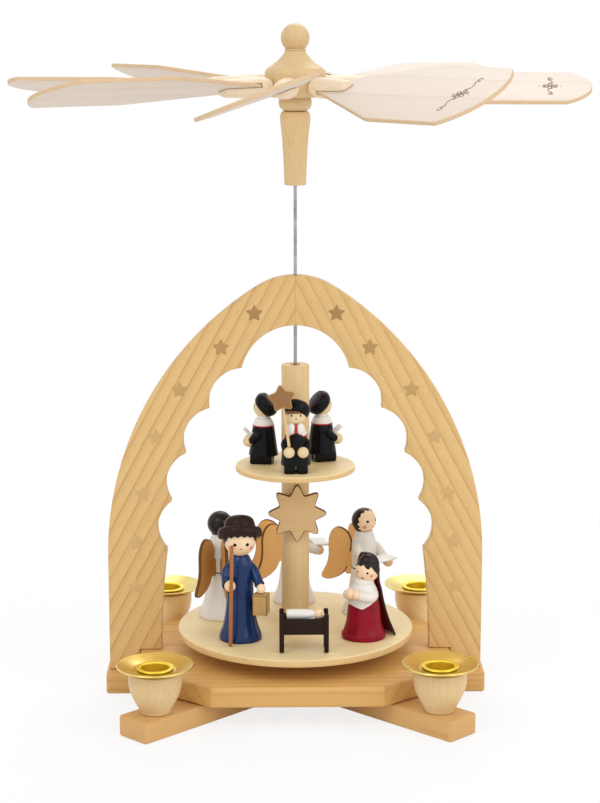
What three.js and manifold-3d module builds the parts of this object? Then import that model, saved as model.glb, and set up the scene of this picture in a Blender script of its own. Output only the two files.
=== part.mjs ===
// Christmas pyramid: a wooden carousel that the warm air of four candles turns.
// Millimetres, +Z up, the front faces -Y, the floor is z = 0 and the spindle stands on x = y = 0.
import * as THREE from 'three';
import { mergeVertices } from 'three/addons/utils/BufferGeometryUtils.js';
import Module from 'manifold-3d';

const wasm = await Module();
wasm.setup();

// Clearances
const gap = 0.3;
const glueGap = 0.2;
const runningGap = 0.45;

// Base: two crossed slats, two end feet and an eight-sided board
const boardThickness = 11;
const slatLength = 241;
const slatWidth = 21;
const slatAngle = 45;
const cornerRadius = 2.2;
const baseHalfLength = 85;
const baseHalfDepth = 69.5;
const baseFrontHalfEdge = 45;
const baseSideHalfEdge = 38;
const endFootWidth = 27;
const endFootReach = 103.6;
const endFootClearance = 8;

// Arch: two mitred halves of one scalloped board
const archThickness = 9;
const archHalfSpan = 102;
const archSpringHeight = 75;
const archSideRadius = 174.5;
const archTopRadius = 38;
const archRim = 29.3;
const archRimGrowth = 0.75;
const scallopCount = 5;
const firstCuspAngle = 45.8;
const cuspStep = 11.1;
const scallopRise = 6.3;
const crownRise = 23;
const legScallopRise = 0.8;
const legWidth = 28.6;

// Bearing and spindle
const spindleRadius = 0.9;
const spindleTipLength = 2.5;
const bearingRadius = 4;
const bearingHeight = 7;
const bearingDepth = 5;
const bearingWall = 1.2;

// Post and the two turning plates
const postRadius = 7.5;
const postTop = 180.4;
const postBelowPlate = 3;
const postMouthRadius = 2.65;
const postMouthDepth = 6;
const lowerPlateRadius = 64.4;
const lowerPlateThickness = 4;
const lowerPlateTop = 35.2;
const upperPlateRadius = 32.4;
const upperPlateThickness = 3;
const upperPlateTop = 125.3;

// Star on the front of the post
const postStarRadius = 15.6;
const postStarInner = 10.5;
const postStarThickness = 3;
const postStarHeight = 65.1;

// Candle holders
const holderReach = 104;
const cupHeight = 22;
const cupTopRadius = 13.9;
const cupFootRadius = 8;
const cupBoreDepth = 14;
const candleBore = 14.5;
const socketWall = 0.8;
const socketDepth = 14;
const socketRimWidth = 2.4;
const socketRimHeight = 0.9;
const dishRadius = 20.2;
const dishThickness = 0.9;
const dishRise = 2.4;

// Fan: a turned hub, eight split stubs and eight boards
const fanHeight = 328;
const bladeCount = 8;
const firstBladeAngle = -54.7;
const bladePitches = [26, 13, 18, 18, 17, 9, 15, 21];
const bladeThickness = 2;
const bladeRoot = 24.6;
const bladeRootHalf = 4.6;
const bladeKink = 91;
const bladeKinkHalf = 28;
const bladeShoulder = 142;
const bladeTipHalf = 27;
const bladeTipRise = 12;
const stubRadius = 5.4;
const stubEndRadius = 4.7;
const stubLength = 30;
const stubShoulder = 16.8;
const stubPegRadius = 2.4;
const stubPegLength = 7.5;
const hubRadius = 16;
const hubHalfHeight = 5.5;
const hubBellHeight = 9.3;
const hubNeckRadius = 4.9;
const hubNeckHeight = 18.4;
const beadHeight = 7;
const beadRadius = 8.7;
const ballRadius = 7.5;
const sleeveHeight = 38.6;
const sleeveRadius = 8;
const sleeveFootRadius = 5.8;
const spindleInHub = 6;

// Figures: how far each stands in from its plate's edge, and its bearing round the post
const fatherInset = 25.4;
const fatherBearing = 219.8;
const fatherFacing = 275;
const fatherRadius = 11.5;
const fatherHeadRadius = 8.6;
const fatherShoulderHeight = 46;
const hatRadius = 12;
const hatTilt = 13;
const lanternWidth = 7.6;
const lanternHeight = 11;
const lanternHandle = 1.2;
const lanternTurn = -18;
const staffWidth = 2.4;
const staffHeight = 55;
const motherInset = 21.2;
const motherBearing = 327.6;
const motherFacing = 235;
const motherRadius = 12;
const motherHeadRadius = 6.3;
const motherShoulderHeight = 31;
const mantleThickness = 1.4;
const cribInset = 18.4;
const cribBearing = 274.7;
const cribLength = 26;
const cribDepth = 13;
const cribHeight = 18.3;
const cribPostWidth = 2.5;
const cribWall = 1.5;
const cribPostRise = 2.6;
const babyRadius = 3.2;
const babyLength = 14;
const babyHeadRadius = 2.9;
const angelInset = 19.8;
const angelBearings = [158, 90, 29.8];
const angelFacings = [80, 13, -49];
const angelRadius = 12;
const angelWaistHeight = 26;
const angelShoulderHeight = 46;
const angelHeadRadius = 6.7;
const angelTorsoRadius = 6.9;
const wingReach = 19;
const wingHeight = 30.8;
const wingThickness = 1.8;
const wingFoot = 16.3;
const wingSpread = 20;
const wingTabFoot = 8.5;
const wingTabHeight = 9;
const singerInset = 14.4;
const singerBearings = [270, 163, 36];
const singerFacings = [270, 172, 16];
const singerRadius = 8;
const singerShoeHeight = 4.2;
const singerShoulderHeight = 24;
const singerHeadRadius = 5.4;
const beretRadius = 6.2;
const beretTilt = 35;
const starStaffRadius = 0.8;
const starStaffRise = 25.7;
const starStaffLean = 10.5;
const carriedStarRadius = 7.2;
const carriedStarThickness = 1.8;

// Facets round one turn
const plateFacets = 48;
const turnedFacets = 24;
const holderFacets = 20;
const figureFacets = 14;
const smallFacets = 12;
const limbFacets = 8;
const headRings = 5;
const handRings = 4;

const radians = THREE.MathUtils.degToRad;

// Materials: colour, roughness and metalness as the photograph shows them
const paint = (color, roughness, metalness = 0) =>
  new THREE.MeshStandardMaterial({ color, roughness, metalness });
const pine = paint('#d9a869', 0.55);
const beech = paint('#e3c79c', 0.5);
const plywood = paint('#efe0c8', 0.6);
const brass = paint('#c9a037', 0.28, 1);
const steel = paint('#8f9095', 0.3, 1);
const fibreboard = paint('#b5793e', 0.7);
const bluePaint = paint('#2f55a8', 0.45);
const redPaint = paint('#b8202c', 0.4);
const blackPaint = paint('#1c1b20', 0.4);
const whitePaint = paint('#f2efe8', 0.45);
const navyPaint = paint('#26304f', 0.45);
const darkStain = paint('#4a2a1c', 0.6);

/** A closed geometry as a manifold solid, turned right side out. */
function solidOf(geometry) {
  const bare = geometry.index ? geometry.toNonIndexed() : geometry.clone();
  bare.deleteAttribute('normal');
  bare.deleteAttribute('uv');
  const merged = mergeVertices(bare, 1e-5);
  const at = merged.attributes.position;
  const index = Array.from(merged.index.array);
  const [a, b, c] = [new THREE.Vector3(), new THREE.Vector3(), new THREE.Vector3()];
  let volume = 0;
  const kept = [];
  for (let i = 0; i < index.length; i += 3) {
    const [p, q, r] = index.slice(i, i + 3);
    if (p === q || q === r || r === p) continue;
    kept.push(p, q, r);
    b.fromBufferAttribute(at, q).cross(c.fromBufferAttribute(at, r));
    volume += a.fromBufferAttribute(at, p).dot(b);
  }
  if (volume < 0) kept.reverse();
  return new wasm.Manifold(new wasm.Mesh({
    numProp: 3,
    vertProperties: Float32Array.from(at.array),
    triVerts: Uint32Array.from(kept),
  }));
}

/** A manifold solid as a three.js geometry with flat normals. */
function geometryOf(solid) {
  const mesh = solid.getMesh();
  const geometry = new THREE.BufferGeometry();
  const positions = new Float32Array((mesh.vertProperties.length / mesh.numProp) * 3);
  for (let i = 0, j = 0; i < mesh.vertProperties.length; i += mesh.numProp, j += 3) {
    positions.set(mesh.vertProperties.subarray(i, i + 3), j);
  }
  geometry.setAttribute('position', new THREE.BufferAttribute(positions, 3));
  geometry.setIndex(Array.from(mesh.triVerts));
  geometry.computeVertexNormals();
  return geometry;
}

const join = (...parts) => geometryOf(parts.map(solidOf).reduce((all, next) => all.add(next)));
const cut = (body, ...tools) =>
  geometryOf(tools.map(solidOf).reduce((left, tool) => left.subtract(tool), solidOf(body)));
const moved = (geometry, x, y, z) => geometry.clone().translate(x, y, z);

/** A turned solid about Z: the profile is [radius, height] pairs from the foot up, closed on the axis. */
function turned(profile, facets = turnedFacets) {
  const points = profile.map(([r, z]) => new THREE.Vector2(r, z));
  const [first, last] = [points[0], points[points.length - 1]];
  if (first.x > 0) points.unshift(new THREE.Vector2(0, first.y));
  if (last.x > 0) points.push(new THREE.Vector2(0, last.y));
  return new THREE.LatheGeometry(points, facets).rotateX(Math.PI / 2);
}

const rod = (radius, z0, z1, facets = smallFacets) => turned([[radius, z0], [radius, z1]], facets);

/** A ball that may be squashed along Z. */
function ball(radius, x, y, z, squash, facets, rings) {
  const profile = [];
  for (let i = 1; i < rings; i += 1) {
    const angle = -Math.PI / 2 + (Math.PI * i) / rings;
    profile.push([radius * Math.cos(angle), radius * squash * Math.sin(angle)]);
  }
  const tips = radius * squash;
  return turned([[0, -tips], ...profile, [0, tips]], facets).translate(x, y, z);
}

const block = (x, y, z, cx, cy, cz) => new THREE.BoxGeometry(x, y, z).translate(cx, cy, cz);

/** A rod between two points. */
function bar(radius, from, to, facets = limbFacets) {
  const way = new THREE.Vector3().subVectors(to, from);
  const geometry = rod(radius, 0, way.length(), facets);
  const turn = new THREE.Quaternion().setFromUnitVectors(new THREE.Vector3(0, 0, 1), way.normalize());
  return geometry.applyQuaternion(turn).translate(from.x, from.y, from.z);
}

/** Points of a round arc from one angle to another, in degrees, both ends included. */
function arc(cx, cy, radius, from, to, steps) {
  const points = [];
  for (let i = 0; i <= steps; i += 1) {
    const angle = radians(from + ((to - from) * i) / steps);
    points.push([cx + radius * Math.cos(angle), cy + radius * Math.sin(angle)]);
  }
  return points;
}

/** Inner points of the arc that bulges by rise to the left of the way from a to b. */
function bulge([ax, ay], [bx, by], rise, steps) {
  const chord = Math.hypot(bx - ax, by - ay);
  const radius = (chord * chord) / (8 * rise) + rise / 2;
  const [nx, ny] = [-(by - ay) / chord, (bx - ax) / chord];
  const [cx, cy] = [(ax + bx) / 2 + nx * (rise - radius), (ay + by) / 2 + ny * (rise - radius)];
  const start = Math.atan2(ay - cy, ax - cx);
  let sweep = Math.atan2(by - cy, bx - cx) - start;
  if (sweep > 0) sweep -= 2 * Math.PI;
  const points = [];
  for (let i = 1; i < steps; i += 1) {
    const angle = start + (sweep * i) / steps;
    points.push([cx + radius * Math.cos(angle), cy + radius * Math.sin(angle)]);
  }
  return points;
}

/** A flat outline in XY, extruded up from z0 by thickness. */
function slab(outline, thickness, z0 = 0) {
  const shape = new THREE.Shape(outline.map(([x, y]) => new THREE.Vector2(x, y)));
  return new THREE.ExtrudeGeometry(shape, { depth: thickness, bevelEnabled: false }).translate(0, 0, z0);
}

/** A flat outline in XZ, extruded along Y and centred on y = 0. */
const upright = (outline, thickness) =>
  slab(outline, thickness, -thickness / 2).rotateX(Math.PI / 2);

/** A rectangle with round corners between x0 and x1, centred on y = 0. */
function roundedStrip(x0, x1, width, radius) {
  const [left, right, side] = [x0 + radius, x1 - radius, width / 2 - radius];
  return [
    ...arc(right, -side, radius, -90, 0, 4), ...arc(right, side, radius, 0, 90, 4),
    ...arc(left, side, radius, 90, 180, 4), ...arc(left, -side, radius, 180, 270, 4),
  ];
}

/** A star outline whose points are rounded off by a short flat. */
function star(points, outer, inner, turn = 90) {
  const outline = [];
  const step = 360 / points;
  for (let i = 0; i < points; i += 1) {
    const angle = turn + step * i;
    outline.push(...arc(0, 0, outer, angle - step / 12, angle + step / 12, 2));
    outline.push(...arc(0, 0, inner, angle + step / 2, angle + step / 2, 1).slice(0, 1));
  }
  return outline;
}

const onCircle = (radius, bearing) =>
  [radius * Math.cos(radians(bearing)), radius * Math.sin(radians(bearing))];

/** Adds a named mesh to a group at a place, turned about Z by degrees. */
function add(parent, name, geometry, material, [x, y, z] = [0, 0, 0], turn = 0) {
  const mesh = new THREE.Mesh(geometry, material);
  mesh.name = name;
  mesh.position.set(x, y, z);
  mesh.rotation.z = radians(turn);
  parent.add(mesh);
  return mesh;
}

// Heights that follow from the driving sizes
const spindleTop = fanHeight + spindleInHub;
const boardBottom = boardThickness + glueGap;
const boardTop = boardBottom + boardThickness;
const lowerPlateBottom = lowerPlateTop - lowerPlateThickness;
const postBottom = lowerPlateBottom - postBelowPlate;
const bearingFloor = boardTop - bearingDepth + gap;
const bearingCone = bearingFloor + bearingHeight - spindleTipLength - bearingWall;
const spindleBottom = bearingCone + gap;

// Base

function footSlat(notchFromAbove) {
  const half = slatLength / 2;
  const slat = slab(roundedStrip(-half, half, slatWidth, cornerRadius), boardThickness);
  const notchWidth = slatWidth + 2 * gap;
  const notchDepth = boardThickness / 2 + gap / 2;
  const notch = block(notchWidth, slatLength, notchDepth, 0, 0, notchDepth / 2);
  notch.rotateZ(radians(notchFromAbove ? 2 * slatAngle - 90 : 90 - 2 * slatAngle));
  const lift = notchFromAbove ? boardThickness - notchDepth : 0;
  const overrun = notchFromAbove ? 1 : -1;
  return cut(slat, notch.scale(1, 1, 2).translate(0, 0, lift + (overrun - 1) * (notchDepth / 2)));
}

function endFoot() {
  const slope = Math.tan(radians(slatAngle));
  const slatEdge = slatWidth / 2 / Math.cos(radians(slatAngle));
  const inner = (endFootWidth / 2 + slatEdge) / slope + endFootClearance;
  return slab(roundedStrip(inner, endFootReach, endFootWidth, cornerRadius), boardThickness);
}

function baseBoard() {
  const corners = [
    [baseHalfLength, -baseSideHalfEdge], [baseHalfLength, baseSideHalfEdge],
    [baseFrontHalfEdge, baseHalfDepth], [-baseFrontHalfEdge, baseHalfDepth],
    [-baseHalfLength, baseSideHalfEdge], [-baseHalfLength, -baseSideHalfEdge],
    [-baseFrontHalfEdge, -baseHalfDepth], [baseFrontHalfEdge, -baseHalfDepth],
  ];
  const recess = rod(bearingRadius + gap, boardTop - bearingDepth, boardTop + 1, turnedFacets);
  return cut(slab(corners, boardThickness, boardBottom), recess);
}

function spindleBearing() {
  const top = bearingFloor + bearingHeight;
  const body = turned([
    [bearingRadius - 0.6, bearingFloor], [bearingRadius, bearingFloor + 0.6],
    [bearingRadius, top - 0.6], [bearingRadius - 0.6, top],
  ], turnedFacets);
  const mouth = spindleRadius + runningGap;
  const hollow = turned([[0, bearingCone], [mouth, bearingCone + spindleTipLength], [mouth, top + 1]]);
  return cut(body, hollow);
}

// Arch

/** The circle that the arch's outer edge follows on its right side. */
const archSide = { x: archHalfSpan - archSideRadius, z: archSpringHeight, radius: archSideRadius };

const onRim = (angle, depth) =>
  arc(archSide.x, archSide.z, archSide.radius - depth, angle, angle, 1)[0];

function cusps() {
  const points = [];
  for (let i = 0; i < scallopCount; i += 1) {
    points.push(onRim(firstCuspAngle - cuspStep * i, archRim + archRimGrowth * i));
  }
  return points;
}

/** The right half's outline, from the foot's inner corner round the outside and back by the scallops. */
function archOutline() {
  const footTop = boardTop + glueGap;
  const footBottom = boardThickness + glueGap;
  const legInner = archHalfSpan - legWidth;
  const notch = baseHalfLength + gap;
  const topRise = Math.sqrt((archSideRadius - archTopRadius) ** 2 - archSide.x ** 2);
  const tangent = THREE.MathUtils.radToDeg(Math.atan2(topRise, -archSide.x));
  const topCentre = archSide.z + topRise;
  const points = cusps();
  const mitre = glueGap / 2;
  const crown = points[0][1] + crownRise;
  const outline = [
    [legInner, footTop], [notch, footTop], [notch, footBottom], [archHalfSpan, footBottom],
    ...arc(archSide.x, archSide.z, archSide.radius, 0, tangent, 14),
    ...arc(0, topCentre, archTopRadius, tangent, 90, 4).slice(1, -1),
    [mitre, topCentre + archTopRadius], [mitre, crown],
  ];
  const halfCrown = bulge([-points[0][0], points[0][1]], points[0], crownRise, 12);
  outline.push(...halfCrown.filter(([x]) => x > mitre + 0.5));
  points.forEach((cusp, i) => {
    outline.push(cusp);
    const next = points[i + 1] ?? [legInner, footTop + legScallopRise];
    const rise = points[i + 1] ? scallopRise : legScallopRise;
    outline.push(...bulge(cusp, next, rise, points[i + 1] ? 6 : 8));
  });
  outline.push([legInner, footTop + legScallopRise]);
  return outline;
}

function archHalf(side) {
  const bore = rod(spindleRadius + runningGap, archSpringHeight, spindleTop, smallFacets);
  const half = cut(upright(archOutline(), archThickness), bore);
  return side < 0 ? half.rotateZ(Math.PI) : half;
}

// Candle holders

const cupBottom = boardThickness + glueGap;
const cupTop = cupBottom + cupHeight;
const socketRadius = candleBore / 2 + socketWall;
const socketFloor = cupTop + dishThickness + glueGap + gap - socketDepth;
const dishFloor = cupTop + glueGap;
const socketFlangeBottom = dishFloor + dishThickness + gap;

function candleCup() {
  const bore = socketRadius + gap;
  const boreFloor = Math.max(cupTop - cupBoreDepth, cupBottom + 3);
  const shoulder = cupTop - cupHeight * 0.22;
  const profile = [[cupFootRadius - 0.4, cupBottom], [cupFootRadius, cupBottom + 0.6]];
  const waist = cupBottom + cupHeight * 0.06;
  for (let i = 0; i <= 4; i += 1) {
    const t = i / 4;
    const swell = Math.sin((t * Math.PI) / 2);
    const radius = cupFootRadius + (cupTopRadius - cupFootRadius) * swell;
    profile.push([radius, waist + (shoulder - waist) * t]);
  }
  profile.push([cupTopRadius, cupTop - 0.8], [cupTopRadius - 0.8, cupTop]);
  return cut(turned(profile, holderFacets), rod(bore, boreFloor, cupTop + 1, holderFacets));
}

function dripDish() {
  const hole = socketRadius + gap;
  const bowl = dishRadius * 0.55;
  const under = [
    [bowl, dishFloor], [dishRadius - 0.5, dishFloor + dishRise], [dishRadius, dishFloor + dishRise + 0.5],
  ];
  const over = under.map(([r, z]) => [r - 0.1, z + dishThickness]).reverse();
  over[0] = [dishRadius - 0.6, dishFloor + dishRise + dishThickness + 0.2];
  const dish = turned([...under, ...over], holderFacets);
  return cut(dish, rod(hole, dishFloor - 1, dishFloor + cupHeight, holderFacets));
}

function candleSocket() {
  const bore = candleBore / 2;
  const rim = socketRadius + socketRimWidth - socketWall;
  const top = socketFlangeBottom + socketRimHeight;
  const outside = turned([
    [socketRadius, socketFloor - socketWall], [socketRadius, socketFlangeBottom],
    [rim - 0.5, socketFlangeBottom], [rim, socketFlangeBottom + socketRimHeight * 0.5],
    [rim - 0.5, top],
  ], holderFacets);
  return cut(outside, rod(bore, socketFloor, top + 1, holderFacets));
}

// Turning post

function spindle() {
  return turned([
    [0, spindleBottom], [spindleRadius, spindleBottom + spindleTipLength],
    [spindleRadius, spindleTop - spindleRadius], [spindleRadius / 2, spindleTop],
  ], smallFacets);
}

function post() {
  const body = turned([
    [postRadius - 0.5, postBottom], [postRadius, postBottom + 0.5],
    [postRadius, postTop - 0.4], [postRadius - 0.4, postTop],
  ]);
  const bore = rod(spindleRadius + gap, postBottom - 1, postTop + 1);
  const mouth = rod(postMouthRadius, postTop - postMouthDepth, postTop + 1);
  return cut(body, bore, mouth);
}

function plate(radius, top, thickness) {
  const soft = thickness * 0.15;
  const bottom = top - thickness;
  const disc = turned([
    [radius - soft, bottom], [radius, bottom + soft], [radius, top - soft], [radius - soft, top],
  ], plateFacets);
  return cut(disc, rod(postRadius + gap, bottom - 1, top + 1, turnedFacets));
}

const postStar = () => upright(star(8, postStarRadius, postStarInner), postStarThickness);

// Fan

function fanHub() {
  const foot = -hubHalfHeight - beadHeight;
  const ballCentre = hubNeckHeight + Math.sqrt(ballRadius ** 2 - hubNeckRadius ** 2) + 1;
  const bell = hubRadius - 1;
  const rise = hubNeckHeight - hubBellHeight;
  const profile = [
    [beadRadius * 0.66, foot], [beadRadius * 0.9, foot + beadHeight * 0.35],
    [beadRadius, foot + beadHeight * 0.75], [beadRadius, -hubHalfHeight],
    [hubRadius * 0.82, -hubHalfHeight], [hubRadius * 0.94, -hubHalfHeight * 0.5], [hubRadius, 1],
    [hubRadius - 0.3, hubBellHeight * 0.7], [bell, hubBellHeight],
  ];
  for (let i = 1; i <= 4; i += 1) {
    const t = i / 4;
    profile.push([hubNeckRadius + (bell - hubNeckRadius) * (1 - t) ** 1.9, hubBellHeight + rise * t]);
  }
  profile.push(...headProfile(hubNeckRadius, ballRadius, ballCentre));
  const tools = [rod(spindleRadius + gap, foot - 1, spindleTop - fanHeight + gap)];
  for (let i = 0; i < bladeCount; i += 1) {
    const bore = rod(stubPegRadius + gap, stubShoulder - stubPegLength - gap, hubRadius + 5, smallFacets);
    tools.push(bore.rotateY(Math.PI / 2).rotateZ(radians(firstBladeAngle + (360 / bladeCount) * i)));
  }
  return cut(turned(profile), ...tools);
}

function hubSleeve() {
  const top = -hubHalfHeight - beadHeight - gap;
  const bottom = top - sleeveHeight;
  const body = turned([
    [sleeveFootRadius - 0.7, bottom], [sleeveFootRadius, bottom + 0.8],
    [sleeveRadius * 0.86, top - sleeveHeight * 0.45], [sleeveRadius, top - sleeveHeight * 0.13],
    [sleeveRadius * 0.97, top - 1.5], [sleeveRadius * 0.82, top],
  ]);
  return cut(body, rod(spindleRadius + gap, bottom - 1, top + 1));
}

/** One flat blade, lying along +X with its leading edge at +Y. */
function fanBlade() {
  const tip = bulge([bladeShoulder, bladeTipHalf], [bladeShoulder, -bladeTipHalf], bladeTipRise, 10);
  const outline = [
    [bladeRoot, -bladeRootHalf], [bladeKink, -bladeKinkHalf], [bladeShoulder, -bladeTipHalf],
    ...tip.reverse(), [bladeShoulder, bladeTipHalf], [bladeKink, bladeKinkHalf],
    [bladeRoot, bladeRootHalf],
  ];
  return slab(outline, bladeThickness, -bladeThickness / 2);
}

/** The split wooden stub that holds a blade: a peg for the hub, then a barrel with a slot. */
function bladeStub() {
  const pegEnd = stubShoulder - stubPegLength;
  const end = stubShoulder + stubLength;
  const body = turned([
    [stubPegRadius - 0.3, pegEnd], [stubPegRadius, pegEnd + 0.4], [stubPegRadius, stubShoulder],
    [stubRadius * 0.78, stubShoulder], [stubRadius * 0.95, stubShoulder + 4],
    [stubRadius, stubShoulder + stubLength * 0.4], [stubEndRadius, end - 1.2],
    [stubEndRadius * 0.8, end],
  ], smallFacets).rotateY(Math.PI / 2);
  const slotStart = bladeRoot - gap;
  const slot = block(end - slotStart + 5, 3 * stubRadius, bladeThickness + 2 * gap,
    (slotStart + end + 5) / 2, 0, 0);
  return cut(body, slot);
}

// Figures, each facing -Y at its own origin on the plate's top

/** An arm from a shoulder to a round hand. */
const arm = (shoulder, hand, sleeve, handRadius) => [
  bar(sleeve, new THREE.Vector3(...shoulder), new THREE.Vector3(...hand)),
  ball(handRadius, ...hand, 1, limbFacets, handRings),
];

/** Two arms alike, one on each side. */
const arms = ([sx, sy, sz], [hx, hy, hz], sleeve, handRadius) => [-1, 1].flatMap((side) =>
  arm([side * sx, sy, sz], [side * hx, hy, hz], sleeve, handRadius));

/** Profile points of a round head, from its neck to its crown. */
function headProfile(neckRadius, headRadius, centre) {
  const neck = -THREE.MathUtils.radToDeg(Math.acos(neckRadius / headRadius));
  const round = arc(0, centre, headRadius, neck, 90, headRings);
  return [...round.slice(0, -1), [0, centre + headRadius]];
}

const fatherHandRadius = fatherRadius * 0.27;
const staffHand = [-fatherRadius * 0.48, -fatherRadius * 0.84, fatherShoulderHeight * 0.69];
const lanternHand = [fatherRadius * 0.96, -fatherRadius * 0.76, fatherShoulderHeight * 0.68];

function father() {
  const [r, top] = [fatherRadius, fatherShoulderHeight];
  const headCentre = top + fatherHeadRadius - 0.2;
  const coat = turned([
    [r - 0.4, 0], [r, 0.8], [r * 0.83, top * 0.16], [r * 0.69, top * 0.36], [r * 0.62, top * 0.6],
    [r * 0.6, top * 0.84], [r * 0.5, top * 0.95], ...headProfile(r * 0.38, fatherHeadRadius, headCentre),
  ], figureFacets);
  const brim = headCentre + fatherHeadRadius * 0.35;
  const hat = turned([
    [hatRadius - 0.8, brim - 1.4], [hatRadius, brim], [hatRadius - 0.8, brim + 1.6],
    [fatherHeadRadius, brim + 2.2], [fatherHeadRadius * 0.95, brim + 5],
    [fatherHeadRadius * 0.7, brim + 8.4], [0, brim + 10.2],
  ], figureFacets);
  hat.translate(0, 0, -headCentre).rotateX(radians(-hatTilt)).translate(0, 0, headCentre);
  const sleeve = fatherHandRadius * 0.95;
  return join(
    coat, hat,
    ...arm([-r * 0.46, 0, top * 0.86], staffHand, sleeve, fatherHandRadius),
    ...arm([r * 0.46, 0, top * 0.86], lanternHand, sleeve, fatherHandRadius),
  );
}

/** The shepherd's staff stands right in front of the father's right hand. */
function fatherStaff() {
  const y = staffHand[1] - fatherHandRadius - gap - staffWidth / 2;
  return block(staffWidth, staffWidth, staffHeight, staffHand[0], y, staffHeight / 2);
}

/** A small box lantern that hangs under the father's left hand. */
function fatherLantern() {
  const handleTop = lanternHand[2] - fatherHandRadius - gap;
  const roofTop = handleTop - lanternHandle;
  const body = block(lanternWidth, lanternWidth, lanternHeight, 0, 0, roofTop - lanternHeight / 2);
  const roof = block(lanternWidth + 1, lanternWidth + 1, 1, 0, 0, roofTop - 0.5);
  const handle = rod(0.8, roofTop - 1, handleTop, limbFacets);
  return join(body, roof, handle);
}

function mother() {
  const [r, top] = [motherRadius, motherShoulderHeight];
  const headCentre = top + motherHeadRadius - 0.6;
  const dress = turned([
    [r - 0.3, 0], [r, 0.6], [r, 2.4], [r * 0.9, 3.4], [r * 0.82, top * 0.3], [r * 0.72, top * 0.55],
    [r * 0.6, top * 0.8], ...headProfile(r * 0.34, motherHeadRadius, headCentre),
  ], figureFacets);
  const veil = ball(motherHeadRadius * 0.96, 0, 0.6, headCentre + 4.3, 1, figureFacets, headRings);
  const limbs = arms([r * 0.4, 0, top * 0.84], [r * 0.1, -r * 0.84, top * 0.84], r * 0.2, r * 0.22);
  return join(dress, veil, ...limbs);
}

/** A thin mantle that falls behind the mother from her head to the floor. */
function motherMantle() {
  const top = motherShoulderHeight + motherHeadRadius * 2 + 3;
  const shoulder = motherHeadRadius + 0.6 + 2 * gap;
  const inner = [
    [motherRadius * 1.17, 0], [motherRadius * 1.08, 5],
    [motherRadius * 0.84 + gap, motherShoulderHeight * 0.34],
    [motherRadius * 0.7 + gap, motherShoulderHeight * 0.62],
    [shoulder, motherShoulderHeight], [shoulder, top],
  ];
  const outer = inner.map(([r, z]) => [r + mantleThickness, z]);
  const hollow = [[inner[0][0], -1], ...inner, [shoulder, top + 1]];
  const reach = 3 * motherRadius;
  const front = block(2 * reach, reach, 3 * top, 0, -reach / 2 + motherRadius * 0.2, top);
  return cut(turned(outer, figureFacets), turned(hollow, figureFacets), front);
}

const cribFloor = cribHeight * 0.56;
const cribInnerHalf = cribLength / 2 - cribPostWidth / 2 - cribWall / 2;

function crib() {
  const [l, d, h, w] = [cribLength / 2, cribDepth / 2, cribHeight, cribPostWidth];
  const [panel, middle, post] = [h - cribFloor, (h + cribFloor) / 2, h + cribPostRise];
  const parts = [block(2 * l - w, 2 * d - w, cribWall, 0, 0, cribFloor)];
  for (const side of [-1, 1]) {
    parts.push(block(2 * l - w, cribWall, panel, 0, side * (d - w / 2), middle));
    parts.push(block(cribWall, 2 * d - w, panel, side * (l - w / 2), 0, middle));
    parts.push(block(w, w, post, side * (l - w / 2), d - w / 2, post / 2));
    parts.push(block(w, w, post, side * (l - w / 2), w / 2 - d, post / 2));
  }
  return join(...parts);
}

/** The swaddled child lies along X with its head at +X, on bedding that fills the crib's floor. */
function baby() {
  const bed = cribFloor + cribWall / 2 + gap;
  const centre = Math.max(bed + babyRadius, cribHeight + babyRadius * 0.3);
  const half = babyLength / 2;
  const headPlace = cribInnerHalf - gap - babyHeadRadius;
  const shift = headPlace - half - babyHeadRadius * 0.7;
  const swaddle = turned([
    [0, -half], [babyRadius * 0.7, -half + 0.6], [babyRadius, -half * 0.3], [babyRadius, half * 0.6],
    [babyRadius * 0.8, half],
  ], smallFacets).rotateY(Math.PI / 2).translate(shift, 0, centre);
  const head = ball(babyHeadRadius, headPlace, 0, centre, 1, smallFacets, handRings);
  const bedding = block(babyLength, babyRadius, centre - bed, shift, 0, (centre + bed) / 2);
  return join(swaddle, head, bedding);
}

function angel() {
  const [r, waist, top, torso] = [angelRadius, angelWaistHeight, angelShoulderHeight, angelTorsoRadius];
  const chest = top - waist;
  const gown = turned([
    [r - 0.4, 0], [r, 0.8], [r * 0.8, waist * 0.3], [r * 0.66, waist * 0.7], [torso, waist],
    [torso, waist + chest * 0.55], [torso * 0.94, waist + chest * 0.85],
    ...headProfile(torso * 0.72, angelHeadRadius, top + angelHeadRadius),
  ], figureFacets);
  const [reach, handHeight] = [r * 1.1, top * 0.66];
  const book = block(r * 1.25, r * 0.75, 1.3, 0, -reach - r * 0.1, handHeight + r * 0.25);
  const limbs = arms([r * 0.36, 0, top * 0.84], [r * 0.5, -reach, handHeight], r * 0.2, r * 0.23);
  return cut(join(gown, book, ...limbs), ...wingSlots());
}

/** Both wings stand out from the back like spokes, this far to either side of straight back. */
const bothWings = (wing) =>
  [90 - wingSpread, 90 + wingSpread].map((turn) => wing.clone().rotateZ(radians(turn)));

/** The two saw slots in the angel's back that hold the wings' tabs. */
const wingSlots = () => bothWings(block(
  2 * angelTorsoRadius, wingThickness + 2 * gap, wingTabHeight + 2 * gap,
  angelTorsoRadius, 0, wingFoot + wingTabFoot + wingTabHeight / 2,
));

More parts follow.
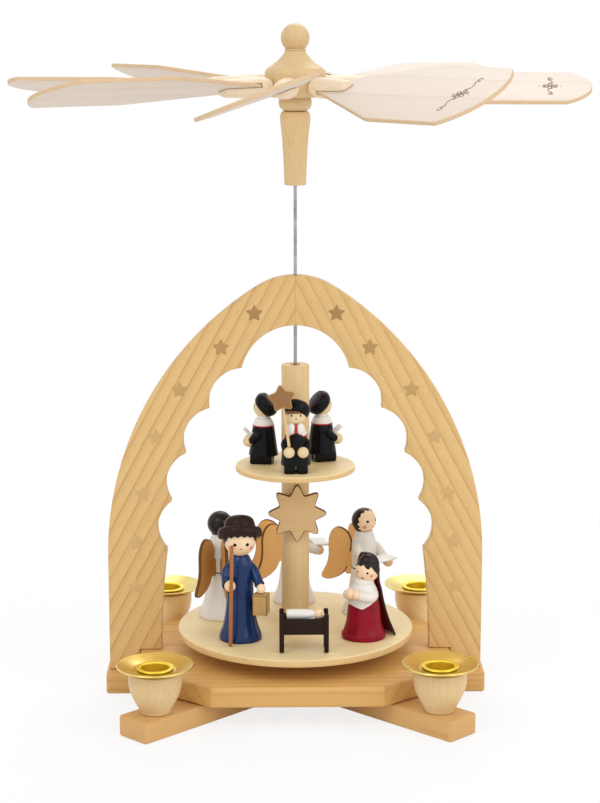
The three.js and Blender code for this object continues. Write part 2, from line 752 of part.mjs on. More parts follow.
/** A pair of curled wings: their tabs meet in the angel's back, their tails point down and out. */
function angelWings() {
  const [w, h, root] = [wingReach, wingHeight, angelTorsoRadius + gap];
  const outline = [
    [0.19, 0.36], [0.19, 0.23], [0.4, 0.09], [0.74, 0], [0.97, 0.02], [1, 0.1], [0.82, 0.3], [0.77, 0.47],
    [0.77, 0.74], [0.68, 0.91], [0.49, 1], [0.25, 0.97], [0.08, 0.86], [0.03, 0.7],
  ].map(([x, z]) => [root + w * x, wingFoot + h * z]);
  const tabMiddle = wingFoot + wingTabFoot + wingTabHeight / 2;
  const tab = block(root + w * 0.4, wingThickness, wingTabHeight, (root + w * 0.4) / 2, 0, tabMiddle);
  return join(...bothWings(join(upright(outline, wingThickness), tab)));
}

const singerHand = [singerRadius * 0.46, -singerRadius * 0.98, singerShoulderHeight * 0.5];
const singerHandRadius = singerRadius * 0.37;

function singer() {
  const [r, shoe, top] = [singerRadius, singerShoeHeight, singerShoulderHeight];
  const headCentre = top + singerHeadRadius + 0.8;
  const robe = turned([
    [r - 0.4, shoe], [r, shoe + 0.6], [r * 0.72, top * 0.8], [r * 0.66, top * 0.9],
    ...headProfile(r * 0.5, singerHeadRadius, headCentre),
  ], figureFacets);
  const beret = ball(beretRadius, 0, 0, 0, 0.62, figureFacets, headRings);
  beret.rotateX(radians(-beretTilt));
  beret.translate(0, singerHeadRadius * 0.34, headCentre + singerHeadRadius * 0.42);
  const shoes = [-1, 1].map((side) =>
    block(r * 0.78, r * 1.5, shoe + 1, side * r * 0.42, -r * 0.1, (shoe + 1) / 2));
  const limbs = arms([r * 0.5, 0, top * 0.74], singerHand, r * 0.24, singerHandRadius);
  return join(robe, beret, ...shoes, ...limbs);
}

/** A flat song book resting on a singer's hands. */
const singerBook = () =>
  block(singerRadius * 0.9, singerRadius * 0.5, singerRadius * 0.9, 0, -singerRadius * 1.08,
    singerHand[2] + singerHandRadius);

/** A six-pointed star on a stick, from the stick's foot on the singer's hand. */
function starStaff() {
  const stick = rod(starStaffRadius, 0, starStaffRise, limbFacets);
  const shape = upright(star(6, carriedStarRadius, carriedStarRadius * 0.55), carriedStarThickness);
  return join(stick, moved(shape, 0, 0, starStaffRise));
}

// Assembly

const pyramid = new THREE.Group();
pyramid.name = 'christmas_pyramid';

const base = new THREE.Group();
pyramid.add(base);
add(base, 'base_board', baseBoard(), pine);
add(base, 'foot_slat_lower', footSlat(true), pine, [0, 0, 0], slatAngle);
add(base, 'foot_slat_upper', footSlat(false), pine, [0, 0, 0], -slatAngle);
add(base, 'end_foot_right', endFoot(), pine);
add(base, 'end_foot_left', endFoot(), pine, [0, 0, 0], 180);
add(base, 'arch_right', archHalf(1), pine);
add(base, 'arch_left', archHalf(-1), pine);
add(base, 'spindle_bearing', spindleBearing(), brass);

const holderNames = ['front_left', 'front_right', 'rear_right', 'rear_left'];
const holderBearings = [180 + slatAngle, -slatAngle, slatAngle, 180 - slatAngle];
holderNames.forEach((name, i) => {
  const [x, y] = onCircle(holderReach, holderBearings[i]);
  add(base, `candle_cup_${name}`, candleCup(), beech, [x, y, 0]);
  add(base, `drip_dish_${name}`, dripDish(), brass, [x, y, 0]);
  add(base, `candle_socket_${name}`, candleSocket(), brass, [x, y, 0]);
});

const rotor = new THREE.Group();
pyramid.add(rotor);
add(rotor, 'spindle', spindle(), steel);
add(rotor, 'post', post(), beech);
add(rotor, 'lower_plate', plate(lowerPlateRadius, lowerPlateTop, lowerPlateThickness), beech);
add(rotor, 'upper_plate', plate(upperPlateRadius, upperPlateTop, upperPlateThickness), beech);
add(rotor, 'post_star', postStar(), fibreboard,
  [0, -postRadius - gap - postStarThickness / 2, lowerPlateTop + postStarHeight]);

/** A group that stands on a plate, in from its edge, facing the given way. */
function standOn(plateRadius, top, inset, bearing, facing) {
  const group = new THREE.Group();
  const [x, y] = onCircle(plateRadius - inset, bearing);
  group.position.set(x, y, top + glueGap);
  group.rotation.z = radians(facing + 90);
  rotor.add(group);
  return group;
}

const fatherStand = standOn(lowerPlateRadius, lowerPlateTop, fatherInset, fatherBearing, fatherFacing);
add(fatherStand, 'father', father(), bluePaint);
add(fatherStand, 'father_staff', fatherStaff(), fibreboard);
const lanternPlace = [lanternHand[0], lanternHand[1], 0];
add(fatherStand, 'father_lantern', fatherLantern(), fibreboard, lanternPlace, lanternTurn);

const motherStand = standOn(lowerPlateRadius, lowerPlateTop, motherInset, motherBearing, motherFacing);
add(motherStand, 'mother', mother(), redPaint);
add(motherStand, 'mother_mantle', motherMantle(), navyPaint);

const cribStand = standOn(lowerPlateRadius, lowerPlateTop, cribInset, cribBearing, 270);
add(cribStand, 'crib', crib(), darkStain);
add(cribStand, 'baby', baby(), whitePaint);

['left', 'back', 'right'].forEach((name, i) => {
  const stand = standOn(lowerPlateRadius, lowerPlateTop, angelInset, angelBearings[i], angelFacings[i]);
  add(stand, `angel_${name}`, angel(), whitePaint);
  add(stand, `angel_wings_${name}`, angelWings(), fibreboard);
});

['front', 'left', 'right'].forEach((name, i) => {
  const stand = standOn(upperPlateRadius, upperPlateTop, singerInset, singerBearings[i], singerFacings[i]);
  add(stand, `singer_${name}`, i === 0 ? singer() : join(singer(), singerBook()), blackPaint);
  if (i === 0) {
    const foot = [-singerHand[0], singerHand[1], singerHand[2] + singerHandRadius + gap];
    const staff = add(stand, 'singer_star', starStaff(), fibreboard, foot);
    staff.rotation.y = radians(-starStaffLean);
  }
});

const fan = new THREE.Group();
fan.position.z = fanHeight;
rotor.add(fan);
add(fan, 'fan_hub', fanHub(), beech);
add(fan, 'hub_sleeve', hubSleeve(), beech);
for (let i = 0; i < bladeCount; i += 1) {
  const spoke = new THREE.Group();
  spoke.rotation.z = radians(firstBladeAngle + (360 / bladeCount) * i);
  fan.add(spoke);
  const pitched = new THREE.Group();
  pitched.rotation.x = radians(bladePitches[i % bladePitches.length]);
  spoke.add(pitched);
  add(pitched, `fan_blade_${i + 1}`, fanBlade(), plywood);
  add(pitched, `blade_stub_${i + 1}`, bladeStub(), beech);
}

export default pyramid;
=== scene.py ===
"""The looks of a wooden christmas pyramid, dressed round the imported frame.

Every size is in millimetres and every angle in degrees. Z is up, the front faces -Y and the
spindle stands on x = y = 0. A figure is made at its own origin, facing -Y, and then placed.
"""

import logging
import math
from dataclasses import dataclass, replace
from enum import Enum
from functools import reduce
from typing import Iterator, Sequence

import bmesh
import bpy
import numpy as np
from bpy.types import Material, Mesh, Node, NodeSocket, NodeTree, Object, Scene
from mathutils import Matrix


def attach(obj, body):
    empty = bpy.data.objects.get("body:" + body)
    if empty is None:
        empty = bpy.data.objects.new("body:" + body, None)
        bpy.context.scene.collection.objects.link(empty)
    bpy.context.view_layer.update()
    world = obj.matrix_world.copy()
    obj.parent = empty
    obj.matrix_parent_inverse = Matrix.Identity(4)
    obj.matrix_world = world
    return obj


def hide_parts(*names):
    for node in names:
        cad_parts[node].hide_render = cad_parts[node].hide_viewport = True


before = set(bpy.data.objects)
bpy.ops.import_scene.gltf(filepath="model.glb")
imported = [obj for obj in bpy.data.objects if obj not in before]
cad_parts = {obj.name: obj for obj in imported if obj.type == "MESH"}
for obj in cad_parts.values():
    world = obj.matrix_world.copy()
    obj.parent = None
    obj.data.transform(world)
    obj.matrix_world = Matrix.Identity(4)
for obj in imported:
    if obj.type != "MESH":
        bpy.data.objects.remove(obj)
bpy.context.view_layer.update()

Pair = tuple[float, float]
Triple = tuple[float, float, float]
Line = tuple[tuple[float, ...], ...]
Rows = Sequence[Sequence[float]]

LOG = logging.getLogger("christmas_pyramid")
MM = 0.001
FULL_TURN = 360.0
SEGMENTS = 96
SIDES = (-1, 1)          # left and right of a figure, or back and front of a board
HIDDEN = 0.25            # how deep a drop of paint or a cap reaches into what carries it
SUNK = 0.02              # how far the rim of a painted skin lies under the surface
FIT = 0.3                # the gap between pieces that fit in each other
PAST = 1.0               # how far a cutter reaches past the face that it opens
WAVE = math.tau / 20     # the period of a wave texture at scale 1
CREASE = 40.0            # an edge that turns further than this stays sharp
MERGED = 1e-7            # points closer than this, in metres, are one


class Slot(Enum):
    """The record's material slots."""
    PINE = "pine"
    BEECH = "beech"
    PLYWOOD = "plywood"
    FIBREBOARD = "fibreboard"
    BRASS = "brass"
    STEEL = "steel"
    BLUE = "blue_paint"
    RED = "red_paint"
    BLACK = "black_paint"
    WHITE = "white_paint"
    NAVY = "navy_paint"
    STAIN = "dark_stain"


class Axis(Enum):
    """An axis to turn about."""
    X = 0
    Y = 1
    Z = 2


# Nodes and finishes

def linear(code: str) -> tuple[float, float, float, float]:
    """An sRGB hex colour as linear red, green, blue and alpha.

    Args:
        code: six hex digits after a hash sign.
    Returns:
        The colour for a shader socket, with alpha 1.
    """
    parts = (int(code[i:i + 2], 16) / 255 for i in (1, 3, 5))
    red, green, blue = (c / 12.92 if c <= 0.04045 else ((c + 0.055) / 1.055) ** 2.4 for c in parts)
    return red, green, blue, 1.0


def add_node(tree: NodeTree, kind: str, inputs: dict | None = None,
             stops: Sequence[tuple[float, str]] = (), **settings: object) -> Node:
    """Adds a shader node, sets its properties, and sets or links its sockets.

    Args:
        tree: the material's or the world's node tree.
        kind: the node's type name, without the ShaderNode that it starts with.
        inputs: socket name or number to a value, to the output socket that feeds it, or to the
            node whose first output feeds it.
        stops: place and hex colour of each stop, for a colour ramp.
        settings: properties of the node.
    Returns:
        The node.
    """
    made = tree.nodes.new(f"ShaderNode{kind}")
    for key, value in settings.items():
        setattr(made, key, value)
    for key, value in (inputs or {}).items():
        if isinstance(value, Node):
            value = value.outputs[0]
        if isinstance(value, NodeSocket):
            tree.links.new(value, made.inputs[key])
        else:
            made.inputs[key].default_value = value
    for i, (place, code) in enumerate(stops):
        elements = made.color_ramp.elements
        stop = elements[i] if i < 2 else elements.new(place)
        stop.position, stop.color = place, linear(code)
    return made


@dataclass(frozen=True)
class Finish:
    """A surface finish, made as a material the first time that a piece asks for it."""
    name: str

    def material(self) -> Material:
        """The finish as a material, whose patterns read the place on the piece in millimetres.

        Returns:
            The material.
        """
        known = bpy.data.materials.get(self.name)
        if known:
            return known
        made = bpy.data.materials.new(self.name)
        made.use_nodes = True
        tree = made.node_tree
        tree.nodes.clear()
        place = add_node(tree, "Mapping", {
            "Vector": add_node(tree, "TexCoord").outputs["Object"], "Scale": (MM, MM, MM)},
            vector_type="TEXTURE")
        add_node(tree, "OutputMaterial", {"Surface": self.dress(tree, place)})
        return made

    def dress(self, tree: NodeTree, place: Node) -> Node:
        """Builds the finish's nodes and gives the shader node."""
        raise NotImplementedError


@dataclass(frozen=True)
class Wood(Finish):
    """Planed or turned wood: growth rings round a pith line, fibres along the board, a few flecks.

    The board's own frame has X along the grain. Late wood is the thin darker line of each ring.
    Real fibres are 0.03 mm wide, too fine to show, so they are drawn as bundles of 0.6 mm.
    """
    pale: str = "#e3bb7f"
    late: str = "#c98f4c"
    ring: float = 4.5
    turn: Triple = (0, 0, 0)
    pith: Pair = (-60, 8)
    wobble: float = 2.5
    contrast: float = 0.7
    faint: float = 0.45
    fleck: str = "#b98a55"
    fleck_share: float = 0.3
    fleck_length: float = 3.5714
    fleck_width: float = 0.52083
    bundle: float = 0.625
    bundle_share: float = 0.3
    cloud: float = 20
    grain_stretch: float = 0.07
    roughness: float = 0.5
    gloss: float = 0.35

    def dress(self, tree: NodeTree, place: Node) -> Node:
        """Rings, fibres, flecks and slow changes of tone.

        Args:
            tree: the material's nodes.
            place: gives the place on the piece in millimetres.
        Returns:
            The shader node.
        """
        board = add_node(tree, "Mapping", {
            "Vector": place, "Rotation": tuple(math.radians(angle) for angle in self.turn)},
            vector_type="TEXTURE")
        from_pith = add_node(tree, "VectorMath", {
            0: board, 1: (0, -self.pith[0], -self.pith[1])}, operation="ADD")
        long = add_node(tree, "VectorMath", {
            0: from_pith, 1: (self.grain_stretch, 1, 1)}, operation="MULTIPLY")
        rings = add_node(tree, "TexWave", {
            "Vector": long, "Scale": WAVE / self.ring, "Distortion": self.wobble, "Detail": 2.0,
            "Detail Scale": 0.6}, wave_type="RINGS", rings_direction="X", wave_profile="SAW")
        rings = add_node(tree, "ValToRGB", {"Fac": rings.outputs["Fac"]}, stops=(
            (0.0, "#000000"), (1.0, "#000000"), (0.35, "#101010"), (0.8, "#9a9a9a"),
            (0.93, "#ffffff")))
        fibre = add_node(tree, "TexNoise", {
            "Vector": long, "Scale": 1 / self.bundle, "Detail": 3.0, "Roughness": 0.6})
        cloud = add_node(tree, "TexNoise", {
            "Vector": long, "Scale": 1 / self.cloud, "Detail": 2.0})
        flecks = add_node(tree, "TexNoise", {
            "Vector": add_node(tree, "VectorMath", {
                0: board, 1: (1 / self.fleck_length, 1 / self.fleck_width, 1 / self.fleck_width)},
                operation="MULTIPLY"),
            "Scale": 1.0, "Detail": 1.0})
        flecks = add_node(tree, "MapRange", {
            "Value": flecks, "From Min": 0.62, "From Max": 0.72, "To Max": self.fleck_share})
        strength = add_node(tree, "MapRange", {
            "Value": cloud, "From Min": 0.3, "From Max": 0.7,
            "To Min": self.contrast * self.faint, "To Max": self.contrast})
        weight = add_node(tree, "Math", {0: rings, 1: strength}, operation="MULTIPLY")
        weight = add_node(tree, "Math", {0: fibre, 1: self.bundle_share, 2: weight},
                          operation="MULTIPLY_ADD")
        weight = add_node(tree, "Math", {0: weight, 1: 0.4 * self.bundle_share},
                          operation="SUBTRACT", use_clamp=True)
        tone = add_node(tree, "Mix", {
            "Factor": weight, 6: linear(self.pale), 7: linear(self.late)}, data_type="RGBA")
        tone = add_node(tree, "Mix", {
            "Factor": flecks, 6: tone.outputs[2], 7: linear(self.fleck)}, data_type="RGBA")
        rough = add_node(tree, "MapRange", {
            "Value": fibre, "To Min": self.roughness - 0.08, "To Max": self.roughness + 0.1})
        bump = add_node(tree, "Bump", {"Height": weight, "Strength": 0.25, "Distance": 0.15 * MM})
        return add_node(tree, "BsdfPrincipled", {
            "Base Color": tone.outputs[2], "Roughness": rough, "Normal": bump, "IOR": 1.5,
            "Specular IOR Level": self.gloss})


@dataclass(frozen=True)
class Lacquer(Finish):
    """Brushed lacquer on turned wood: an even colour, soft brush lines and a shiny top coat."""
    colour: str
    shade: str
    roughness: float = 0.32
    coat: float = 0.1
    gloss: float = 0.35
    brush: float = 1.1111
    brush_stretch: float = 0.12
    cloud: float = 6.25

    def dress(self, tree: NodeTree, place: Node) -> Node:
        """Two tones of the paint by slow noise, brush lines that run up the piece, and a coat.

        Args:
            tree: the material's nodes.
            place: gives the place on the piece in millimetres.
        Returns:
            The shader node.
        """
        cloud = add_node(tree, "TexNoise", {
            "Vector": place, "Scale": 1 / self.cloud, "Detail": 3.0})
        cloud = add_node(tree, "MapRange", {
            "Value": cloud, "From Min": 0.35, "From Max": 0.7, "To Max": 0.6})
        tone = add_node(tree, "Mix", {
            "Factor": cloud, 6: linear(self.colour), 7: linear(self.shade)}, data_type="RGBA")
        lines = add_node(tree, "TexNoise", {
            "Vector": add_node(tree, "VectorMath", {
                0: place, 1: (1, 1, self.brush_stretch)}, operation="MULTIPLY"),
            "Scale": 1 / self.brush, "Detail": 3.0})
        rough = add_node(tree, "MapRange", {
            "Value": lines, "To Min": self.roughness - 0.06, "To Max": self.roughness + 0.08})
        bump = add_node(tree, "Bump", {"Height": lines, "Strength": 0.18, "Distance": 0.12 * MM})
        return add_node(tree, "BsdfPrincipled", {
            "Base Color": tone.outputs[2], "Roughness": rough, "Normal": bump, "IOR": 1.48,
            "Coat Weight": self.coat, "Coat Roughness": 0.14, "Specular IOR Level": self.gloss})


@dataclass(frozen=True)
class Fibreboard(Finish):
    """Pressed fibreboard cut by a hot beam: short pale and brown fibres in a matt brown sheet."""
    colour: str = "#b98752"
    pale: str = "#cfa26c"
    dark: str = "#8f5f33"
    roughness: float = 0.68
    speck: float = 0.45455
    cloud: float = 5

    def dress(self, tree: NodeTree, place: Node) -> Node:
        """Specks over a cloudy ground, a little rough to the touch.

        Args:
            tree: the material's nodes.
            place: gives the place on the piece in millimetres.
        Returns:
            The shader node.
        """
        specks = add_node(tree, "TexNoise", {
            "Vector": place, "Scale": 1 / self.speck, "Detail": 4.0, "Roughness": 0.7})
        cloud = add_node(tree, "TexNoise", {
            "Vector": place, "Scale": 1 / self.cloud, "Detail": 2.0})
        cloud = add_node(tree, "MapRange", {
            "Value": cloud, "From Min": 0.3, "From Max": 0.7, "To Max": 0.5})
        tone = add_node(tree, "ValToRGB", {"Fac": specks}, stops=(
            (0.28, self.dark), (0.74, self.pale), (0.5, self.colour)))
        tone = add_node(tree, "Mix", {
            "Factor": cloud, 6: tone, 7: linear(self.colour)}, data_type="RGBA")
        bump = add_node(tree, "Bump", {"Height": specks, "Strength": 0.3, "Distance": 0.1 * MM})
        return add_node(tree, "BsdfPrincipled", {
            "Base Color": tone.outputs[2], "Roughness": self.roughness, "Normal": bump,
            "Specular IOR Level": 0.25})


@dataclass(frozen=True)
class SpunMetal(Finish):
    """Metal polished on a lathe: rings of fine turning lines and a few duller smears.

    The lines are 0.5 mm apart, coarser than real ones, so that they show.
    """
    colour: str = "#e6cf80"
    shade: str = "#d9bd64"
    roughness: float = 0.27
    centre: Pair = (0, 0)
    line: float = 0.5
    smear: float = 8.3333

    def dress(self, tree: NodeTree, place: Node) -> Node:
        """Rings round the piece's own upright axis, and smears from slow noise.

        Args:
            tree: the material's nodes.
            place: gives the place on the piece in millimetres.
        Returns:
            The shader node.
        """
        place = add_node(tree, "Mapping", {
            "Vector": place, "Location": (*self.centre, 0)}, vector_type="TEXTURE")
        lines = add_node(tree, "TexWave", {
            "Vector": place, "Scale": WAVE / self.line, "Distortion": 1.0},
            wave_type="RINGS", rings_direction="Z")
        smears = add_node(tree, "TexNoise", {
            "Vector": place, "Scale": 1 / self.smear, "Detail": 2.0, "Roughness": 0.5})
        share = add_node(tree, "MapRange", {"Value": smears, "From Min": 0.35, "From Max": 0.7})
        tone = add_node(tree, "Mix", {
            "Factor": share, 6: linear(self.colour), 7: linear(self.shade)}, data_type="RGBA")
        rough = add_node(tree, "MapRange", {
            "Value": smears, "From Min": 0.3, "From Max": 0.75, "To Min": self.roughness,
            "To Max": self.roughness + 0.07})
        bump = add_node(tree, "Bump", {
            "Height": lines.outputs["Fac"], "Strength": 0.08, "Distance": 0.02 * MM})
        return add_node(tree, "BsdfPrincipled", {
            "Base Color": tone.outputs[2], "Metallic": 1.0, "Roughness": rough, "Normal": bump})


# Pine, sawn, planed and left bare: warm honey yellow with clear orange lines of late wood
def pine(name: str, turn: Triple, pith: Pair, ring: float, **more: object) -> Wood:
    """Planed pine of one board, whose grain runs along the given turn."""
    return Wood(f"planed pine, {name}", turn=turn, pith=pith, ring=ring, **more)


# Beech, turned and sanded: paler than the pine, close-grained, with short brown flecks that run
# up the piece and a soft sheen. The hub is a little greyer, and the cups have fainter rings.
BEECH_TURNED = Wood(
    "turned beech, upright grain", pale="#e1c28f", late="#cba268", ring=3.2, turn=(0, -90, 0),
    pith=(-30, 12), wobble=1.6, contrast=0.32, fleck="#bf9157", fleck_share=0.4, roughness=0.42)
BEECH_HUB = replace(BEECH_TURNED, name="turned beech, hub", pale="#d8bb8c", late="#c59e69")
BEECH_CUP = replace(BEECH_TURNED, name="turned beech, candle cup", pale="#e0c28f", late="#d0a871",
                    contrast=0.28)
# The rear cups take a paler copy of the cup finish: painted light, as if more light fell on them
BEECH_CUP_PAINTED_LIGHT = replace(BEECH_CUP, name="turned beech, rear candle cup", pale="#fbe0a8",
                         late="#efcf90")
# Beech, sawn flat and sanded: the lightest wood here, nearly without figure; its sawn rim is a
# shade browner and duller, because end grain drinks the light
BEECH_PLATE = Wood(
    "sanded beech plate", pale="#ecd6a4", late="#dcbd85", ring=5.0, pith=(10, -45), wobble=3.0,
    contrast=0.4, fleck="#d0ab74", fleck_share=0.25, roughness=0.45)
BEECH_PLATE_EDGE = replace(BEECH_PLATE, name="sawn beech plate edge", pale="#dfbe85",
                           late="#c99d62", roughness=0.55)
# Fibreboard, pressed and cut by a hot beam: flat matt brown, speckled like felt, no grain
FIBRE_WING = Fibreboard("pressed fibreboard, wing", "#c9964f", "#d7a560", "#b18041")
# The back and right angels' wings take a paler copy: painted light, for the strong light that falls
# on them
FIBRE_WING_PAINTED_LIGHT = replace(FIBRE_WING, name="pressed fibreboard, wing with painted light", colour="#f2c07c",
                          pale="#f8cc8e", dark="#deab68")
FIBRE_STAR = Fibreboard("pressed fibreboard, star", "#d5b17f", "#e2c294", "#b8925f")
FIBRE_CARRIED = Fibreboard("pressed fibreboard, carried star", "#946b42", "#a97f53", "#775434")
FIBRE_LANTERN = Fibreboard("pressed fibreboard, lantern", "#bd985e", "#cca970", "#957443")
# The edge that the beam leaves: charred, a thin dark outline round each flat shape
BURNT = Fibreboard("beam-burnt fibreboard edge", "#6f4522", "#8d5d31", "#432711", roughness=0.75)
# A sawn edge isn't charred, so this star has a pale rim
CARRIED_EDGE = Fibreboard("sawn fibreboard edge", "#c29a69", "#d2ad7d", "#a07a4e")
# Brass, turned and polished: warm yellow, mirrors the room in soft rings
BRASS_BEARING = SpunMetal("turned brass bearing")
# Steel, drawn to a rod: cool grey with a clean narrow highlight
STEEL = SpunMetal("drawn steel spindle", "#b4b7bd", "#8d9098", roughness=0.24, line=0.3)
# Gloss lacquer, dipped or brushed: deep colour, soft highlights, hardly any brush marks
BLUE = Lacquer("navy gloss lacquer", "#0c3064", "#0a2149", roughness=0.26, coat=0.26, gloss=0.22)
CRIMSON = Lacquer("crimson gloss lacquer", "#941326", "#740e1b", roughness=0.28,
                  coat=0.08, gloss=0.12)
BLACK = Lacquer("black lacquer", "#0b0a0c", "#110f12", roughness=0.34, coat=0.08, gloss=0.12)
HAIR = Lacquer("dark brown hair paint", "#1d1414", "#2a1d1b", roughness=0.34, coat=0.12, gloss=0.2)
MANTLE = Lacquer("near-black mantle lacquer", "#231618", "#1a1012", roughness=0.3,
                 coat=0.2, gloss=0.2)
# Satin lacquer, brushed: a warm white that keeps soft shadows in the folds
WHITE = Lacquer("white lacquer", "#ebe7e0", "#dfdad0", roughness=0.38)
# Card under white paint: matt, a little cooler than the gowns
PAPER = Lacquer("white painted card", "#f1efec", "#e4e1dc", roughness=0.55, coat=0.05)
# Flesh-coloured paint, brushed: smooth pale peach, half matt
FLESH = Lacquer("flesh-coloured paint", "#f9d9b4", "#f2caa0", roughness=0.45)
# Maple, turned and oiled: the singers' heads and hands, paler and yellower than the paint
BARE = Lacquer("bare maple, oiled", "#e6cfa4", "#d9bc8d", roughness=0.45)
# Thin paint put on with a fine brush: matt little marks and lines on the lacquer
FRINGE = Lacquer("chestnut hair paint", "#8a5836", "#6f4326", roughness=0.45)
ROSE = Lacquer("rose cheek paint", "#e08f85", "#dd9a8b", roughness=0.5)
SCARLET = Lacquer("scarlet line paint", "#b51f30", "#9c1a2a", roughness=0.4)
UMBER = Lacquer("red-brown mouth paint", "#8c3a2a", "#7a2f22", roughness=0.4)
INK = Lacquer("black eye paint", "#191414", "#221b1a", roughness=0.45, coat=0, gloss=0.15)
WINE = Lacquer("wine-red piping paint", "#561b26", "#48161f", roughness=0.5, coat=0, gloss=0.1)
WAIST = Lacquer("blue-black line paint", "#2b3a55", "#222d42", roughness=0.4)
# Beech under dark stain, turned or sawn: almost black brown, the grain just shows in the gloss
HAT = Wood("dark-stained turned hat", pale="#2e1c17", late="#1d120e", ring=2.6, turn=(0, -90, 0),
           pith=(-25, 5), contrast=0.8, fleck="#1a0f0b", roughness=0.34, gloss=0.13)
STAIN = Wood("dark-stained beech", pale="#28180f", late="#190e09", ring=2.2, pith=(-20, 4),
             contrast=0.8, fleck="#140a06", roughness=0.44, gloss=0.14)
# Thin split sticks, one stained orange and one bare birch: straight fine lines, no gloss
STAFF = Wood("orange-stained staff", pale="#ab6a34", late="#8c4f24", ring=1.6, turn=(0, -90, 0),
             pith=(-12, 3), contrast=0.6)
STICK = Wood("split birch stick", pale="#dcc08f", late="#c39c64", ring=1.2, turn=(0, -90, 0),
             pith=(-8, 2), contrast=0.5)
# Birch plywood, peeled, glued and cut by a beam: a toasted tan edge round the pale blades, and
# the thin red-brown lines that the beam scorches on their upper faces
PLY_EDGE = Fibreboard("beam-cut birch ply edge", "#dabd98", "#e7cfae", "#bb956d", roughness=0.7)
SCORCH = Fibreboard("scorched line", "#8a6458", "#9c7668", "#6d4b40", roughness=0.7)
# Pine pressed by a hot stamp: flat brown stars, each a little paler than the one above it,
# from the top of the arch down to the foot
STAR_TONES = (("#a98455", "#9c784b"), ("#b5905b", "#a68250"), ("#bf9c66", "#b18e59"),
              ("#cca873", "#bf9a64"), ("#cfab74", "#c39f68"), ("#d0ac74", "#c6a26a"),
              ("#d2ae75", "#c6a167"))
ARCH_STARS = tuple(
    Fibreboard(f"stamped star {i + 1}", colour=colour, pale=colour, dark=dark, roughness=0.5)
    for i, (colour, dark) in enumerate(STAR_TONES))


# Moves

def shift(x: float, y: float, z: float) -> np.ndarray:
    """The move by x, y and z as a 4x4 matrix."""
    return np.array([(1, 0, 0, x), (0, 1, 0, y), (0, 0, 1, z), (0, 0, 0, 1.0)])


def spin(axis: Axis, degrees: float) -> np.ndarray:
    """A turn as a 4x4 matrix.

    Args:
        axis: what it turns about.
        degrees: how far, by the right-hand rule.
    Returns:
        The matrix.
    """
    first, second = [(1, 2), (2, 0), (0, 1)][axis.value]
    turn, angle = np.eye(4), math.radians(degrees)
    turn[first, first] = turn[second, second] = math.cos(angle)
    turn[second, first], turn[first, second] = math.sin(angle), -math.sin(angle)
    return turn


def stretch(x: float, y: float, z: float) -> np.ndarray:
    """The scale by x, y and z as a 4x4 matrix."""
    return np.diag([x, y, z, 1.0])


def aim(way: Sequence[float]) -> np.ndarray:
    """The turn that takes +Z to a direction.

    Args:
        way: the direction, of any length.
    Returns:
        The turn as a 4x4 matrix, whose X stays level unless the direction is nearly upright.
    """
    z = np.asarray(way, float) / np.linalg.norm(way)
    helper = np.array([0.0, 0.0, 1.0]) if abs(z[2]) < 0.9 else np.array([1.0, 0.0, 0.0])
    x = np.cross(helper, z)
    x /= np.linalg.norm(x)
    turn = np.eye(4)
    turn[:3, :3] = np.stack([x, np.cross(z, x), z], axis=1)
    return turn


def on_circle(radius: float, bearing: float) -> Pair:
    """The point at a radius and a bearing round Z."""
    return radius * math.cos(math.radians(bearing)), radius * math.sin(math.radians(bearing))


# Surfaces

@dataclass(frozen=True)
class Surface:
    """A skin: points, face corners end to end, the number of corners of each face, and its coat."""
    points: np.ndarray
    corners: np.ndarray
    sizes: np.ndarray
    coats: np.ndarray

    def placed(self, *moves: np.ndarray) -> "Surface":
        """The same skin after 4x4 moves, of which the last is made first."""
        move = reduce(np.matmul, moves)
        return replace(self, points=self.points @ move[:3, :3].T + move[:3, 3])

    def outwards(self) -> "Surface":
        """The same closed skin with its faces turned outwards.

        The volume is a sixth of the sum of first . (this x next) over the corners of all faces.

        Returns:
            The skin, with the order of its corners turned round if the volume is negative.
        """
        face = np.repeat(np.arange(len(self.sizes)), self.sizes)
        starts = np.cumsum(self.sizes) - self.sizes
        following = np.arange(len(self.corners)) + 1
        following[starts + self.sizes - 1] = starts
        this, after = (self.points[self.corners[k]] for k in (slice(None), following))
        first = self.points[self.corners[starts[face]]]
        if (first * np.cross(this, after)).sum() >= 0:
            return self
        return replace(self, corners=self.corners[::-1], sizes=self.sizes[::-1],
                       coats=self.coats[::-1])


def grid(points: np.ndarray, coat: int | np.ndarray = 0, around: bool = True) -> Surface:
    """Four-cornered faces over rows and columns of points.

    Args:
        points: rows x columns x 3.
        coat: one coat, or one for each row of faces.
        around: joins the last column to the first.
    Returns:
        The skin. Where a row falls together in one point, the merge in Piece closes the pole.
    """
    rows, columns = points.shape[:2]
    index = np.arange(rows * columns).reshape(rows, columns)
    left = index if around else index[:, :-1]
    right = np.roll(index, -1, axis=1) if around else index[:, 1:]
    quads = np.stack([left[:-1], right[:-1], right[1:], left[1:]], axis=-1)
    coats = np.repeat(np.broadcast_to(coat, rows - 1), quads.shape[1])
    quads = quads.reshape(-1, 4)
    return Surface(points.reshape(-1, 3), quads.ravel(), np.full(len(quads), 4), coats)


def merged(skins: Sequence[Surface]) -> Surface:
    """Several skins as one.

    Args:
        skins: at least one.
    Returns:
        The skin of them all.
    """
    starts = np.cumsum([0] + [len(skin.points) for skin in skins[:-1]])
    return Surface(np.concatenate([skin.points for skin in skins]),
                   np.concatenate([skin.corners + start for skin, start in zip(skins, starts)]),
                   np.concatenate([skin.sizes for skin in skins]),
                   np.concatenate([skin.coats for skin in skins]))


